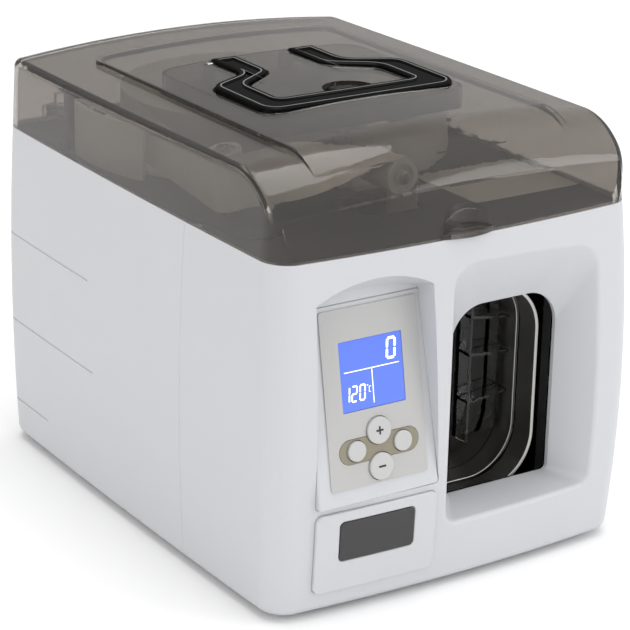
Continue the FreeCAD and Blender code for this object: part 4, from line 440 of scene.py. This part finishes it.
class Workshop:
    """Nodes, bodies and materials that every sub-assembly works with.

    Attributes:
        FACE_DEPTH: Depth below a node's outermost point that still counts as its outer face.
        SOFT_SEGMENTS: Segments of a softened edge.
        NORMAL_WEIGHT: Weight of big faces in the shading normals.
    """

    FACE_DEPTH = 0.02 * MM
    SOFT_SEGMENTS = 2
    NORMAL_WEIGHT = 80

    def __init__(self, frame: dict, library: MaterialLibrary) -> None:
        """Args:
            library: The materials.
        """
        record = frame["record"]
        self._nodes = frame["nodes"]
        self._library = library
        self._body_of = {node: body for body, names in record["behaviour"]["bodies"].items()
                         for node in names}
        self._slot_of = {part["node"]: part["material_slot"] for part in record["subparts"]}
        self._dressed: List[str] = []

    def left_bare(self) -> List[str]:
        """Names of the nodes that no sub-assembly has dressed."""
        return sorted(set(self._nodes) - set(self._dressed))

    def merged(self, node: str) -> bmesh.types.BMesh:
        """Args:
            node: Name of a CAD node.

        Returns:
            Copy of its mesh with shared corners merged and flat stretches made one face.
        """
        work = bmesh.new()
        work.from_mesh(self._nodes[node].data)
        bmesh.ops.remove_doubles(work, verts=work.verts, dist=MERGE_DISTANCE)
        bmesh.ops.dissolve_limit(work, angle_limit=FLAT_ANGLE, verts=work.verts, edges=work.edges)
        return work

    def outer_plane(self, node: str, right: Vector, up: Vector) -> "WorkPlane":
        """Args:
            node: Name of a CAD node.
            right: Unit vector of the plane's first coordinate.
            up: Unit vector of its second coordinate.

        Returns:
            Plane on the node's outermost face, with its origin at the face's middle.
        """
        out = right.cross(up)
        points = [vert.co for vert in self._nodes[node].data.vertices]
        reach = max(point.dot(out) for point in points)
        face = [point for point in points if point.dot(out) > reach - self.FACE_DEPTH]
        middle = out * reach
        for axis in (right, up):
            spread = [point.dot(axis) for point in face]
            middle = middle + axis * (min(spread) + max(spread)) / 2
        return WorkPlane(middle, right, up)

    def carry(self, node: str, finish: Finish, edge: float = 0.3) -> None:
        """Stand in for a CAD node with a copy whose sharp edges are rounded off.

        Args:
            node: Name of the node.
            finish: Its surface.
            edge: Width of the softened edges, in millimetres.
        """
        piece = self._stand_in(node, self.merged(node), [finish])
        bevel = piece.modifiers.new("soft_edges", "BEVEL")
        bevel.width = edge * MM
        bevel.segments = self.SOFT_SEGMENTS
        bevel.limit_method = "ANGLE"
        bevel.angle_limit = SHARP_ANGLE
        bevel.miter_outer = "MITER_ARC"
        self._even_normals(piece)

    def carry_shaped(self, node: str, finishes: Sequence[Finish],
                     shape: Callable[[bmesh.types.BMesh], None]) -> None:
        """Stand in for a CAD node with a copy that a function shapes further.

        Args:
            node: Name of the node.
            finishes: Its surfaces, in the order of the material numbers that shape sets.
            shape: Function that works on the merged mesh.
        """
        work = self.merged(node)
        shape(work)
        self._even_normals(self._stand_in(node, work, finishes))

    def cover(self, node: str, finish: Finish) -> None:
        """Give a CAD node its surface and leave its mesh as it is."""
        mesh = self._nodes[node].data
        mesh.materials.clear()
        mesh.materials.append(self._library.get(finish))
        self._dressed.append(node)

    def add(self, name: str, work: bmesh.types.BMesh, finish: Finish, beside: str,
            smooth: bool = False) -> None:
        """Add a small piece that no CAD node stands for.

        Args:
            name: Name of the piece.
            work: Its mesh, which is freed.
            finish: Its surface.
            beside: CAD node that carries it, and whose body it rides on.
            smooth: Whether its faces are shaded smooth.
        """
        for face in work.faces:
            face.smooth = smooth
        piece = self._object(name, work, [finish])
        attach(piece, self._body_of[beside])
        LOG.info("added %s on %s", name, beside)

    def _stand_in(self, node: str, work: bmesh.types.BMesh, finishes: Sequence[Finish]) -> bpy.types.Object:
        """Piece made of a work mesh that replaces a node."""
        for face in work.faces:
            face.smooth = True
        for edge in work.edges:
            if len(edge.link_faces) == 2 and edge.calc_face_angle(0.0) > SHARP_ANGLE:
                edge.smooth = False
        piece = self._object(node + "_piece", work, finishes)
        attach(piece, self._body_of[node])
        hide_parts(node)
        self._dressed.append(node)
        return piece

    def _object(self, name: str, work: bmesh.types.BMesh, finishes: Sequence[Finish]) -> bpy.types.Object:
        """Object at the origin with a work mesh and its materials."""
        mesh = bpy.data.meshes.new(name)
        work.to_mesh(mesh)
        work.free()
        for finish in finishes:
            mesh.materials.append(self._library.get(finish))
        piece = bpy.data.objects.new(name, mesh)
        bpy.context.scene.collection.objects.link(piece)
        return piece

    def _even_normals(self, piece: bpy.types.Object) -> None:
        """Shade big faces flat up to their softened edges."""
        normals = piece.modifiers.new("even_normals", "WEIGHTED_NORMAL")
        normals.keep_sharp = True
        normals.weight = self.NORMAL_WEIGHT


BAR_ROUNDING = 0.45
BAR_SEGMENTS = 3
ALONG_AXIS = 0.9


def add_bar(work: bmesh.types.BMesh, plane: WorkPlane, centre: Pair, size: Pair, low: float,
            high: float, turn: float = 0.0, rounding: float = BAR_ROUNDING) -> None:
    """Add a flat bar with rounded ends, lying on a plane.

    Args:
        work: Mesh to add to.
        plane: Plane that it lies on.
        centre: Its middle, in the plane's coordinates.
        size: Its length and width.
        low: Height of its underside over the plane.
        high: Height of its top over the plane.
        turn: Turn about the plane's normal, in radians.
        rounding: Radius of its corners, as a share of its width.
    """
    matrix = plane.place(centre[0], centre[1], (low + high) / 2, turn)
    scale = Matrix.Diagonal((size[0], size[1], high - low, 1.0))
    made = bmesh.ops.create_cube(work, size=1.0, matrix=matrix @ scale)
    axis = plane.out
    edges = dict.fromkeys(edge for vert in made["verts"] for edge in vert.link_edges)
    upright = [edge for edge in edges
               if abs((edge.verts[0].co - edge.verts[1].co).normalized().dot(axis)) > ALONG_AXIS]
    bmesh.ops.bevel(work, geom=upright, offset=min(size) * rounding, offset_type="OFFSET",
                    segments=BAR_SEGMENTS, profile=0.5, affect="EDGES", material=-1)


# ---------------------------------------------------------------- housing
@dataclass
class HousingDress:
    """Moulded shells, nameplate, floor plate and feet.

    Attributes:
        shell_edge: Softening of the front shell's rims, in millimetres.
        rear_edge: Softening of the rear shell's edges, in millimetres.
        cover_edge: Softening of the lower cover's edges, in millimetres.
        nameplate_edge: Softening of the nameplate's edges, in millimetres.
        floor_edge: Softening of the floor plate's edges, in millimetres.
        foot_edge: Softening of the feet's edges, in millimetres.
    """

    shell_edge: float = 1.0
    rear_edge: float = 0.4
    cover_edge: float = 0.9
    nameplate_edge: float = 0.3
    floor_edge: float = 0.2
    foot_edge: float = 0.4

    def build(self, shop: Workshop) -> None:
        """Dress the housing's nodes."""
        shop.carry("front_housing", Finish.HOUSING, self.shell_edge)
        shop.carry("rear_housing", Finish.HOUSING, self.rear_edge)
        shop.carry("lower_cover", Finish.HOUSING, self.cover_edge)
        shop.carry("blank_nameplate", Finish.NAMEPLATE, self.nameplate_edge)
        shop.carry("base_plate", Finish.SHEET_STEEL, self.floor_edge)
        shop.carry("rubber_feet", Finish.RUBBER, self.foot_edge)
        LOG.info("housing dressed")


# ---------------------------------------------------------------- control console
class Segment(Enum):
    """Bars of a seven-bar digit: middle across and up, and whether it lies level."""

    TOP = (0.0, 1.0, True)
    TOP_LEFT = (-0.5, 0.5, False)
    TOP_RIGHT = (0.5, 0.5, False)
    MIDDLE = (0.0, 0.0, True)
    LOW_LEFT = (-0.5, -0.5, False)
    LOW_RIGHT = (0.5, -0.5, False)
    BOTTOM = (0.0, -1.0, True)


SIDES = (Segment.TOP_LEFT, Segment.TOP_RIGHT, Segment.LOW_LEFT, Segment.LOW_RIGHT)
DIGITS: Dict[str, Tuple[Segment, ...]] = {
    "0": SIDES + (Segment.TOP, Segment.BOTTOM),
    "1": (Segment.TOP_RIGHT, Segment.LOW_RIGHT),
    "2": (Segment.TOP, Segment.TOP_RIGHT, Segment.MIDDLE, Segment.LOW_LEFT, Segment.BOTTOM),
    "C": (Segment.TOP, Segment.TOP_LEFT, Segment.LOW_LEFT, Segment.BOTTOM),
}


@dataclass
class ConsoleDress:
    """Leaning panel with its overlay, display and keys. Places are measured on the piece's face.

    Attributes:
        lean: Lean of the panel from upright, in radians.
        panel_edge: Softening of the panel's edges, in millimetres.
        plate_edge: Softening of the overlay's edges, in millimetres.
        window_edge: Softening of the inlay's and the display's edges, in millimetres.
        board_edge: Softening of the board's edges, in millimetres.
        key_edge: Softening of the keys' edges, in millimetres.
        print_height: Thickness of the display's lit marks.
        key_arm: Length of the bars of the plus and minus signs.
        key_line: Width of those bars.
        key_print: Depth that the bars reach into the key and height that they stand over it.
        key_step: Extra height of the plus sign's second bar.
        key_rounding: Rounding of the bars' corners, as a share of their width.
        count_digit: Width and height of the count's digit.
        count_place: Middle of that digit.
        heat_digit: Width and height of the temperature's digits.
        heat_marks: The temperature's digits, each with its middle across the display.
        heat_row: Middle of those digits up the display.
        unit_digit: Width and height of the unit's letter.
        unit_place: Middle of the letter.
        dot_place: Middle of the degree dot.
        dot_size: Width of the dot.
        field_line: Width of the lines between the fields.
        level_line: Height and length of the level line.
        upright_line: Height of the middle and length of the upright line.
        digit_line: Width of a digit's bars, as a share of the digit's width.
        digit_slant: Drift of a digit to the right, as a share of its height.
        upright_turn: Turn of a digit's upright bars, in radians.
        level_gap: Shortening of a digit's level bars, in bar widths.
        upright_gap: Shortening of a digit's upright bars, in bar widths.
    """

    lean: float = math.atan(0.1835)
    panel_edge: float = 0.7
    plate_edge: float = 0.25
    window_edge: float = 0.1
    board_edge: float = 0.15
    key_edge: float = 0.5
    print_height: float = 0.06 * MM
    key_arm: float = 4.4 * MM
    key_line: float = 1.05 * MM
    key_print: float = 0.05 * MM
    key_step: float = 0.004 * MM
    key_rounding: float = 0.2
    count_digit: Pair = (6.2 * MM, 11.7 * MM)
    count_place: Pair = (12.5 * MM, 10.5 * MM)
    heat_digit: Pair = (3.9 * MM, 8.7 * MM)
    heat_marks: Tuple[Tuple[str, float], ...] = (("1", -16.1 * MM), ("2", -11.5 * MM), ("0", -6.6 * MM))
    heat_row: float = -9.35 * MM
    unit_digit: Pair = (1.5 * MM, 3.2 * MM)
    unit_place: Pair = (-1.9 * MM, -8.4 * MM)
    dot_place: Pair = (-3.3 * MM, -6.2 * MM)
    dot_size: float = 0.7 * MM
    field_line: float = 0.5 * MM
    level_line: Pair = (2.3 * MM, 33.9 * MM)
    upright_line: Pair = (-6.9 * MM, 18.4 * MM)
    digit_line: float = 0.24
    digit_slant: float = 0.10
    upright_turn: float = math.radians(84.3)
    level_gap: float = 1.2
    upright_gap: float = 0.8

    def build(self, shop: Workshop) -> None:
        """Dress the console's nodes and add the signs."""
        shop.carry("control_console", Finish.HOUSING, self.panel_edge)
        shop.carry("console_faceplate", Finish.OVERLAY, self.plate_edge)
        shop.carry("key_inlay", Finish.KHAKI, self.window_edge)
        shop.carry("lcd_display", Finish.DISPLAY, self.window_edge)
        shop.carry("console_pcb", Finish.BOARD, self.board_edge)
        for node in ("plus_button", "minus_button", "reverse_button", "feed_button"):
            shop.carry(node, Finish.KEY, self.key_edge)
        self._display_marks(shop)
        self._key_signs(shop)
        LOG.info("console dressed")

    def _plane_on(self, shop: Workshop, node: str) -> WorkPlane:
        """Plane on a console piece's outer face."""
        up = Vector((0.0, math.sin(self.lean), math.cos(self.lean)))
        return shop.outer_plane(node, X_AXIS, up)

    def _digit(self, work: bmesh.types.BMesh, plane: WorkPlane, mark: str, place: Pair,
               size: Pair) -> None:
        """Add one seven-bar digit, leaning a little to the right."""
        width, height = size
        line = self.digit_line * width
        level_bar = (width - self.level_gap * line, line)
        upright_bar = (height / 2 - self.upright_gap * line, line)
        for segment in DIGITS[mark]:
            across, rise, level = segment.value
            lift = rise * (height - line) / 2
            middle = (place[0] + across * (width - line) + self.digit_slant * lift, place[1] + lift)
            if level:
                add_bar(work, plane, middle, level_bar, 0.0, self.print_height)
            else:
                add_bar(work, plane, middle, upright_bar, 0.0, self.print_height, self.upright_turn)

    def _display_marks(self, shop: Workshop) -> None:
        """Count and temperature readings and the lines between the display's fields."""
        plane = self._plane_on(shop, "lcd_display")
        work = bmesh.new()
        self._digit(work, plane, "0", self.count_place, self.count_digit)
        for mark, across in self.heat_marks:
            self._digit(work, plane, mark, (across, self.heat_row), self.heat_digit)
        self._digit(work, plane, "C", self.unit_place, self.unit_digit)
        level_row, level_length = self.level_line
        upright_row, upright_length = self.upright_line
        for place, size in ((self.dot_place, (self.dot_size, self.dot_size)),
                            ((0.0, level_row), (level_length, self.field_line)),
                            ((0.0, upright_row), (self.field_line, upright_length))):
            add_bar(work, plane, place, size, 0.0, self.print_height)
        shop.add("display_marks", work, Finish.LIT_SIGN, "lcd_display")

    def _key_signs(self, shop: Workshop) -> None:
        """Plus and minus on the two round keys."""
        for node, turns in (("plus_button", (0.0, math.pi / 2)), ("minus_button", (0.0,))):
            plane = self._plane_on(shop, node)
            work = bmesh.new()
            for step, turn in enumerate(turns):
                add_bar(work, plane, (0.0, 0.0), (self.key_arm, self.key_line), -self.key_print,
                        self.key_print + self.key_step * step, turn, self.key_rounding)
            shop.add(node.replace("button", "sign"), work, Finish.KEY_SIGN, node)


# ---------------------------------------------------------------- lid and handle
@dataclass
class LidDress:
    """Smoked lid with its pins.

    Attributes:
        pin_edge: Softening of the pins' ends, in millimetres.
    """

    pin_edge: float = 0.2

    def build(self, shop: Workshop) -> None:
        """Dress the lid's nodes."""
        shop.cover("lid", Finish.SMOKED)
        shop.carry("lid_hinge_pins", Finish.BRIGHT_STEEL, self.pin_edge)
        shop.carry("handle_pins", Finish.BRIGHT_STEEL, self.pin_edge)
        LOG.info("lid dressed")


@dataclass
class HandleDress:
    """Carrying handle: a black moulding with a painted highlight line inside its outline, standing in for the
    light caught by its rounded rim.

    Attributes:
        corner: Radius of its softened edges.
        border: Width of the black border outside the line.
        line: Width of the painted highlight line.
        slope: Width of the step down to the sunk middle.
        sunk: Depth of the middle.
        level: Least upward part of a top face's normal.
        top_depth: Depth below the highest point that still counts as the top.
    """

    corner: float = 0.5 * MM
    border: float = 1.6 * MM
    line: float = 0.8 * MM
    slope: float = 0.5 * MM
    sunk: float = 0.9 * MM
    level: float = 0.999
    top_depth: float = 0.02 * MM

    def build(self, shop: Workshop) -> None:
        """Dress the handle."""
        shop.carry_shaped("carry_handle", [Finish.HANDLE, Finish.HANDLE_PAINTED_HIGHLIGHT], self._shape)
        LOG.info("handle dressed")

    def _shape(self, work: bmesh.types.BMesh) -> None:
        """Soften the edges, then let the painted highlight line and the sunk middle into the top face."""
        sharp = [edge for edge in work.edges if len(edge.link_faces) == 2
                 and edge.calc_face_angle(0.0) > SHARP_ANGLE]
        bmesh.ops.bevel(work, geom=sharp, offset=self.corner, offset_type="OFFSET", segments=2,
                        profile=0.5, affect="EDGES", material=-1, clamp_overlap=True)
        top = max(vert.co.z for vert in work.verts)
        flat = [face for face in work.faces if face.normal.z > self.level
                and abs(face.calc_center_median().z - top) < self.top_depth]
        faces = bmesh.ops.dissolve_faces(work, faces=flat, use_verts=True)["region"]
        # The second ring gets the grey painted highlight; the border and the step keep the handle's black.
        for width, depth, finish_number in ((self.border, 0.0, 0), (self.line, 0.0, 1),
                                            (self.slope, -self.sunk, 0)):
            ring = bmesh.ops.inset_region(work, faces=faces, thickness=width, depth=depth,
                                          use_even_offset=True, use_boundary=True)
            for face in ring["faces"]:
                face.material_index = finish_number


# ---------------------------------------------------------------- deck and tape path
@dataclass
class DeckDress:
    """Deck under the lid, with its rollers, guides, screws and instruction sheet.

    Attributes:
        sheet_size: Length and width of the bare instruction sheet.
        sheet_centre: Its middle on the deck.
        sheet_thickness: Its thickness.
        sheet_rounding: Rounding of its corners, as a share of its width.
        plate_edge: Softening of the deck's and the corner guide's edges, in millimetres.
        roller_edge: Softening of the rollers', the wall's and the sensor's edges, in millimetres.
        pin_edge: Softening of the roller pins' ends, in millimetres.
        screw_edge: Softening of the screws' edges, in millimetres.
    """

    sheet_size: Pair = (70.0 * MM, 58.0 * MM)
    sheet_centre: Pair = (75.0 * MM, -72.0 * MM)
    sheet_thickness: float = 0.12 * MM
    sheet_rounding: float = 0.04
    plate_edge: float = 0.3
    roller_edge: float = 0.4
    pin_edge: float = 0.25
    screw_edge: float = 0.15

    def build(self, shop: Workshop) -> None:
        """Dress the deck's nodes and add the sheet."""
        shop.carry("top_deck", Finish.DECK, self.plate_edge)
        shop.carry("corner_guide", Finish.DARK_PLASTIC, self.plate_edge)
        shop.carry("roll_sensor", Finish.DARK_PLASTIC, self.roller_edge)
        for node in ("guide_roller", "corner_roller", "tension_roller", "tape_guide_wall"):
            shop.carry(node, Finish.WHITE_PLASTIC, self.roller_edge)
        shop.carry("roller_pins", Finish.BRIGHT_STEEL, self.pin_edge)
        shop.carry("deck_screws", Finish.BRIGHT_STEEL, self.screw_edge)
        shop.cover("paper_tape", Finish.PAPER)
        self._sheet(shop)
        LOG.info("deck dressed")

    def _sheet(self, shop: Workshop) -> None:
        """Bare instruction sheet stuck on the deck."""
        deck_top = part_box("top_deck")[1].z
        plane = WorkPlane(Vector((0.0, 0.0, deck_top)), X_AXIS, Y_AXIS)
        work = bmesh.new()
        add_bar(work, plane, self.sheet_centre, self.sheet_size, 0.0, self.sheet_thickness,
                rounding=self.sheet_rounding)
        shop.add("instruction_sheet", work, Finish.LABEL, "top_deck")


@dataclass
class ReelDress:
    """Turntable with the paper roll.

    Attributes:
        edge: Softening of the white pieces' edges, in millimetres.
        roll_edge: Softening of the roll's and the spindle's edges, in millimetres.
        core_edge: Softening of the core's edges, in millimetres.
    """

    edge: float = 0.4
    roll_edge: float = 0.3
    core_edge: float = 0.2

    def build(self, shop: Workshop) -> None:
        """Dress the reel's nodes."""
        shop.carry("reel_plate", Finish.WHITE_PLASTIC, self.edge)
        shop.carry("roll_clamp_knob", Finish.WHITE_PLASTIC, self.edge)
        shop.carry("paper_roll", Finish.WOUND_PAPER, self.roll_edge)
        shop.carry("roll_core", Finish.CARD, self.core_edge)
        shop.carry("reel_spindle", Finish.BRIGHT_STEEL, self.roll_edge)
        LOG.info("reel dressed")


# ---------------------------------------------------------------- mechanism and electrics
@dataclass
class MechanismDress:
    """Track rails, bundle tunnel, press head and feed unit behind the opening.

    Attributes:
        LOOKS: Finish, softening of the edges in millimetres, and the nodes that have them.
    """

    LOOKS = (
        # The plates around the bundle tunnel are blackened steel whose near-black colour also paints the
        # shade in the cavity.
        (Finish.BLACK_STEEL_AND_PAINTED_SHADE, 0.2, ("loop_front_plate", "mechanism_plate", "note_stop", "feed_frame")),
        (Finish.RAIL, 0.35, ("front_track_rail", "rear_track_rail")),
        (Finish.CAST_METAL, 0.3, ("head_guide_block", "press_carriage", "anvil_plate")),
        (Finish.CAST_METAL, 0.15, ("press_pinion",)),
        (Finish.BRASS, 0.2, ("heater_plate",)),
        (Finish.RUBBER, 0.4, ("feed_roller", "pinch_roller")),
        (Finish.BRIGHT_STEEL, 0.2, ("feed_shaft", "pinch_shaft")),
        (Finish.GEAR, 0.15, ("feed_gear", "motor_pinion")),
        (Finish.MOTOR, 0.4, ("press_motor", "feed_motor")),
    )

    def build(self, shop: Workshop) -> None:
        """Dress the mechanism's nodes."""
        for finish, edge, nodes in self.LOOKS:
            for node in nodes:
                shop.carry(node, finish, edge)
        shop.cover("clear_tape_guide", Finish.CLEAR)
        shop.cover("cutter_blade", Finish.BLADE)
        LOG.info("mechanism dressed")


@dataclass
class ElectricsDress:
    """Main board, power supply, mains inlet and switch.

    Attributes:
        edge: Softening of the housed pieces' edges, in millimetres.
        board_edge: Softening of the board's edges, in millimetres.
    """

    edge: float = 0.3
    board_edge: float = 0.2

    def build(self, shop: Workshop) -> None:
        """Dress the electrical nodes."""
        shop.carry("main_board", Finish.BOARD, self.board_edge)
        shop.carry("power_supply", Finish.SHEET_STEEL, self.edge)
        for node in ("power_inlet", "switch_bezel", "power_switch"):
            shop.carry(node, Finish.BLACK_PLASTIC, self.edge)
        LOG.info("electrics dressed")


# ---------------------------------------------------------------- studio
@dataclass(frozen=True)
class CameraSpec:
    """The camera's place, aim and lens."""

    position: Tuple[float, float, float] = (-0.71796, -1.09322, 0.59294)
    yaw: float = 33.52
    pitch: float = 20.51
    roll: float = 1.27
    focal_pixels: float = 2455.2
    frame_pixels: float = 630.0
    sensor: float = 36.0
    reach: Pair = (0.05, 50.0)


@dataclass(frozen=True)
class LampSpec:
    """One soft light."""

    name: str
    place: Tuple[float, float, float]
    size: float
    power: float
    colour: Colour = (1.0, 1.0, 1.0)


LAMPS = (
    LampSpec("top", (0.1, 0.1, 1.9), 1.6, 16.5),
    LampSpec("front_right", (1.5, -1.5, 1.0), 1.2, 9.0, (0.96, 0.98, 1.0)),
    LampSpec("left", (-1.9, -0.6, 0.8), 1.2, 5.0, (1.0, 0.985, 0.97)),
)


class Studio:
    """Floor, lights, surroundings and camera.

    Attributes:
        AIM: Point that every light faces.
        FLOOR_REACH: Half the floor's width.
        FLOOR_SHADE: Grey of the floor.
        BACK: Strength of the surroundings behind the machine, against 1 in front.
        BACK_BAND: Part of the direction along Y over which they darken.
        OVERHEAD_BAND: Part of the direction along Z over which they brighten again.
    """

    AIM = Vector((0.0, 0.0, 0.12))
    FLOOR_REACH = 6.0
    FLOOR_SHADE = 0.95
    BACK = 0.45
    BACK_BAND = (-0.15, 0.45)
    OVERHEAD_BAND = (0.62, 0.9)

    def __init__(self, camera: CameraSpec) -> None:
        """Args:
            camera: The camera's numbers.
        """
        self._camera = camera

    def build(self) -> None:
        """Make the whole studio."""
        self._view()
        self._world()
        self._floor()
        for lamp in LAMPS:
            self._area(lamp)
        self._place_camera()

    @staticmethod
    def _view() -> None:
        """Plain colour response."""
        settings = bpy.context.scene.view_settings
        settings.view_transform = "Standard"
        settings.look = "None"
        settings.exposure = 0.0

    def _world(self) -> None:
        """Pale surroundings in front and overhead, darker low down behind the machine."""
        world = bpy.data.worlds.new("studio")
        bpy.context.scene.world = world
        world.use_nodes = True
        nodes = world.node_tree.nodes
        links = world.node_tree.links
        shade = nodes["Background"]
        shade.inputs["Color"].default_value = (1.0, 1.0, 1.0, 1.0)
        place = nodes.new("ShaderNodeTexCoord")
        split = nodes.new("ShaderNodeSeparateXYZ")
        links.new(place.outputs["Generated"], split.inputs["Vector"])
        bands = []
        for output, band, strengths in (("Y", self.BACK_BAND, (1.0, self.BACK)),
                                        ("Z", self.OVERHEAD_BAND, (0.0, 1.0))):
            fade = nodes.new("ShaderNodeMapRange")
            fade.interpolation_type = "SMOOTHSTEP"
            fade.inputs["From Min"].default_value, fade.inputs["From Max"].default_value = band
            fade.inputs["To Min"].default_value, fade.inputs["To Max"].default_value = strengths
            links.new(split.outputs[output], fade.inputs["Value"])
            bands.append(fade)
        brighter = nodes.new("ShaderNodeMath")
        brighter.operation = "MAXIMUM"
        for step, fade in enumerate(bands):
            links.new(fade.outputs["Result"], brighter.inputs[step])
        links.new(brighter.outputs[0], shade.inputs["Strength"])

    def _floor(self) -> None:
        """Large pale floor."""
        work = bmesh.new()
        bmesh.ops.create_grid(work, x_segments=1, y_segments=1, size=self.FLOOR_REACH)
        mesh = bpy.data.meshes.new("floor")
        work.to_mesh(mesh)
        work.free()
        floor = bpy.data.objects.new("floor", mesh)
        bpy.context.scene.collection.objects.link(floor)
        material = bpy.data.materials.new("floor")
        material.use_nodes = True
        shader = material.node_tree.nodes["Principled BSDF"]
        shader.inputs["Base Color"].default_value = (*[self.FLOOR_SHADE] * 3, 1.0)
        shader.inputs["Roughness"].default_value = 0.9
        shader.inputs["Specular IOR Level"].default_value = 0.1
        mesh.materials.append(material)

    def _area(self, spec: LampSpec) -> None:
        """One soft light aimed at the machine's middle."""
        place = Vector(spec.place)
        data = bpy.data.lights.new(spec.name, "AREA")
        data.shape = "DISK"
        data.size = spec.size
        data.energy = spec.power
        data.color = spec.colour
        lamp = bpy.data.objects.new(spec.name, data)
        bpy.context.scene.collection.objects.link(lamp)
        lamp.location = place
        lamp.rotation_euler = (self.AIM - place).to_track_quat("-Z", "Y").to_euler()

    def _place_camera(self) -> None:
        """Camera at its place, with its lens."""
        spec = self._camera
        yaw, pitch, roll = (math.radians(a) for a in (spec.yaw, spec.pitch, spec.roll))
        ahead = Vector((math.sin(yaw) * math.cos(pitch), math.cos(yaw) * math.cos(pitch), -math.sin(pitch)))
        right = Vector((math.cos(yaw), -math.sin(yaw), 0.0))
        up = right.cross(ahead)
        right_rolled = right * math.cos(roll) + up * math.sin(roll)
        up_rolled = up * math.cos(roll) - right * math.sin(roll)
        matrix = Matrix((right_rolled, up_rolled, -ahead)).transposed().to_4x4()
        matrix.translation = Vector(spec.position)
        data = bpy.data.cameras.new("camera")
        data.sensor_width = spec.sensor
        data.lens = spec.focal_pixels / spec.frame_pixels * spec.sensor
        data.clip_start, data.clip_end = spec.reach
        data.dof.use_dof = False
        camera = bpy.data.objects.new("camera", data)
        bpy.context.scene.collection.objects.link(camera)
        camera.matrix_world = matrix
        bpy.context.scene.camera = camera


def main() -> None:
    """Load the frame, dress every sub-assembly, light it and set the camera."""
    logging.basicConfig(level=logging.INFO, format="%(name)s: %(message)s")
    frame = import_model()
    low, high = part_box("paper_roll")
    shop = Workshop(frame, MaterialLibrary((low + high) / 2))
    for dress in (HousingDress(), ConsoleDress(), LidDress(), HandleDress(), DeckDress(), ReelDress(),
                  MechanismDress(), ElectricsDress()):
        dress.build(shop)
    LOG.info("nodes left bare: %s", shop.left_bare())
    Studio(CameraSpec()).build()
    bpy.context.view_layer.update()


if __name__ == "__main__":
    main()
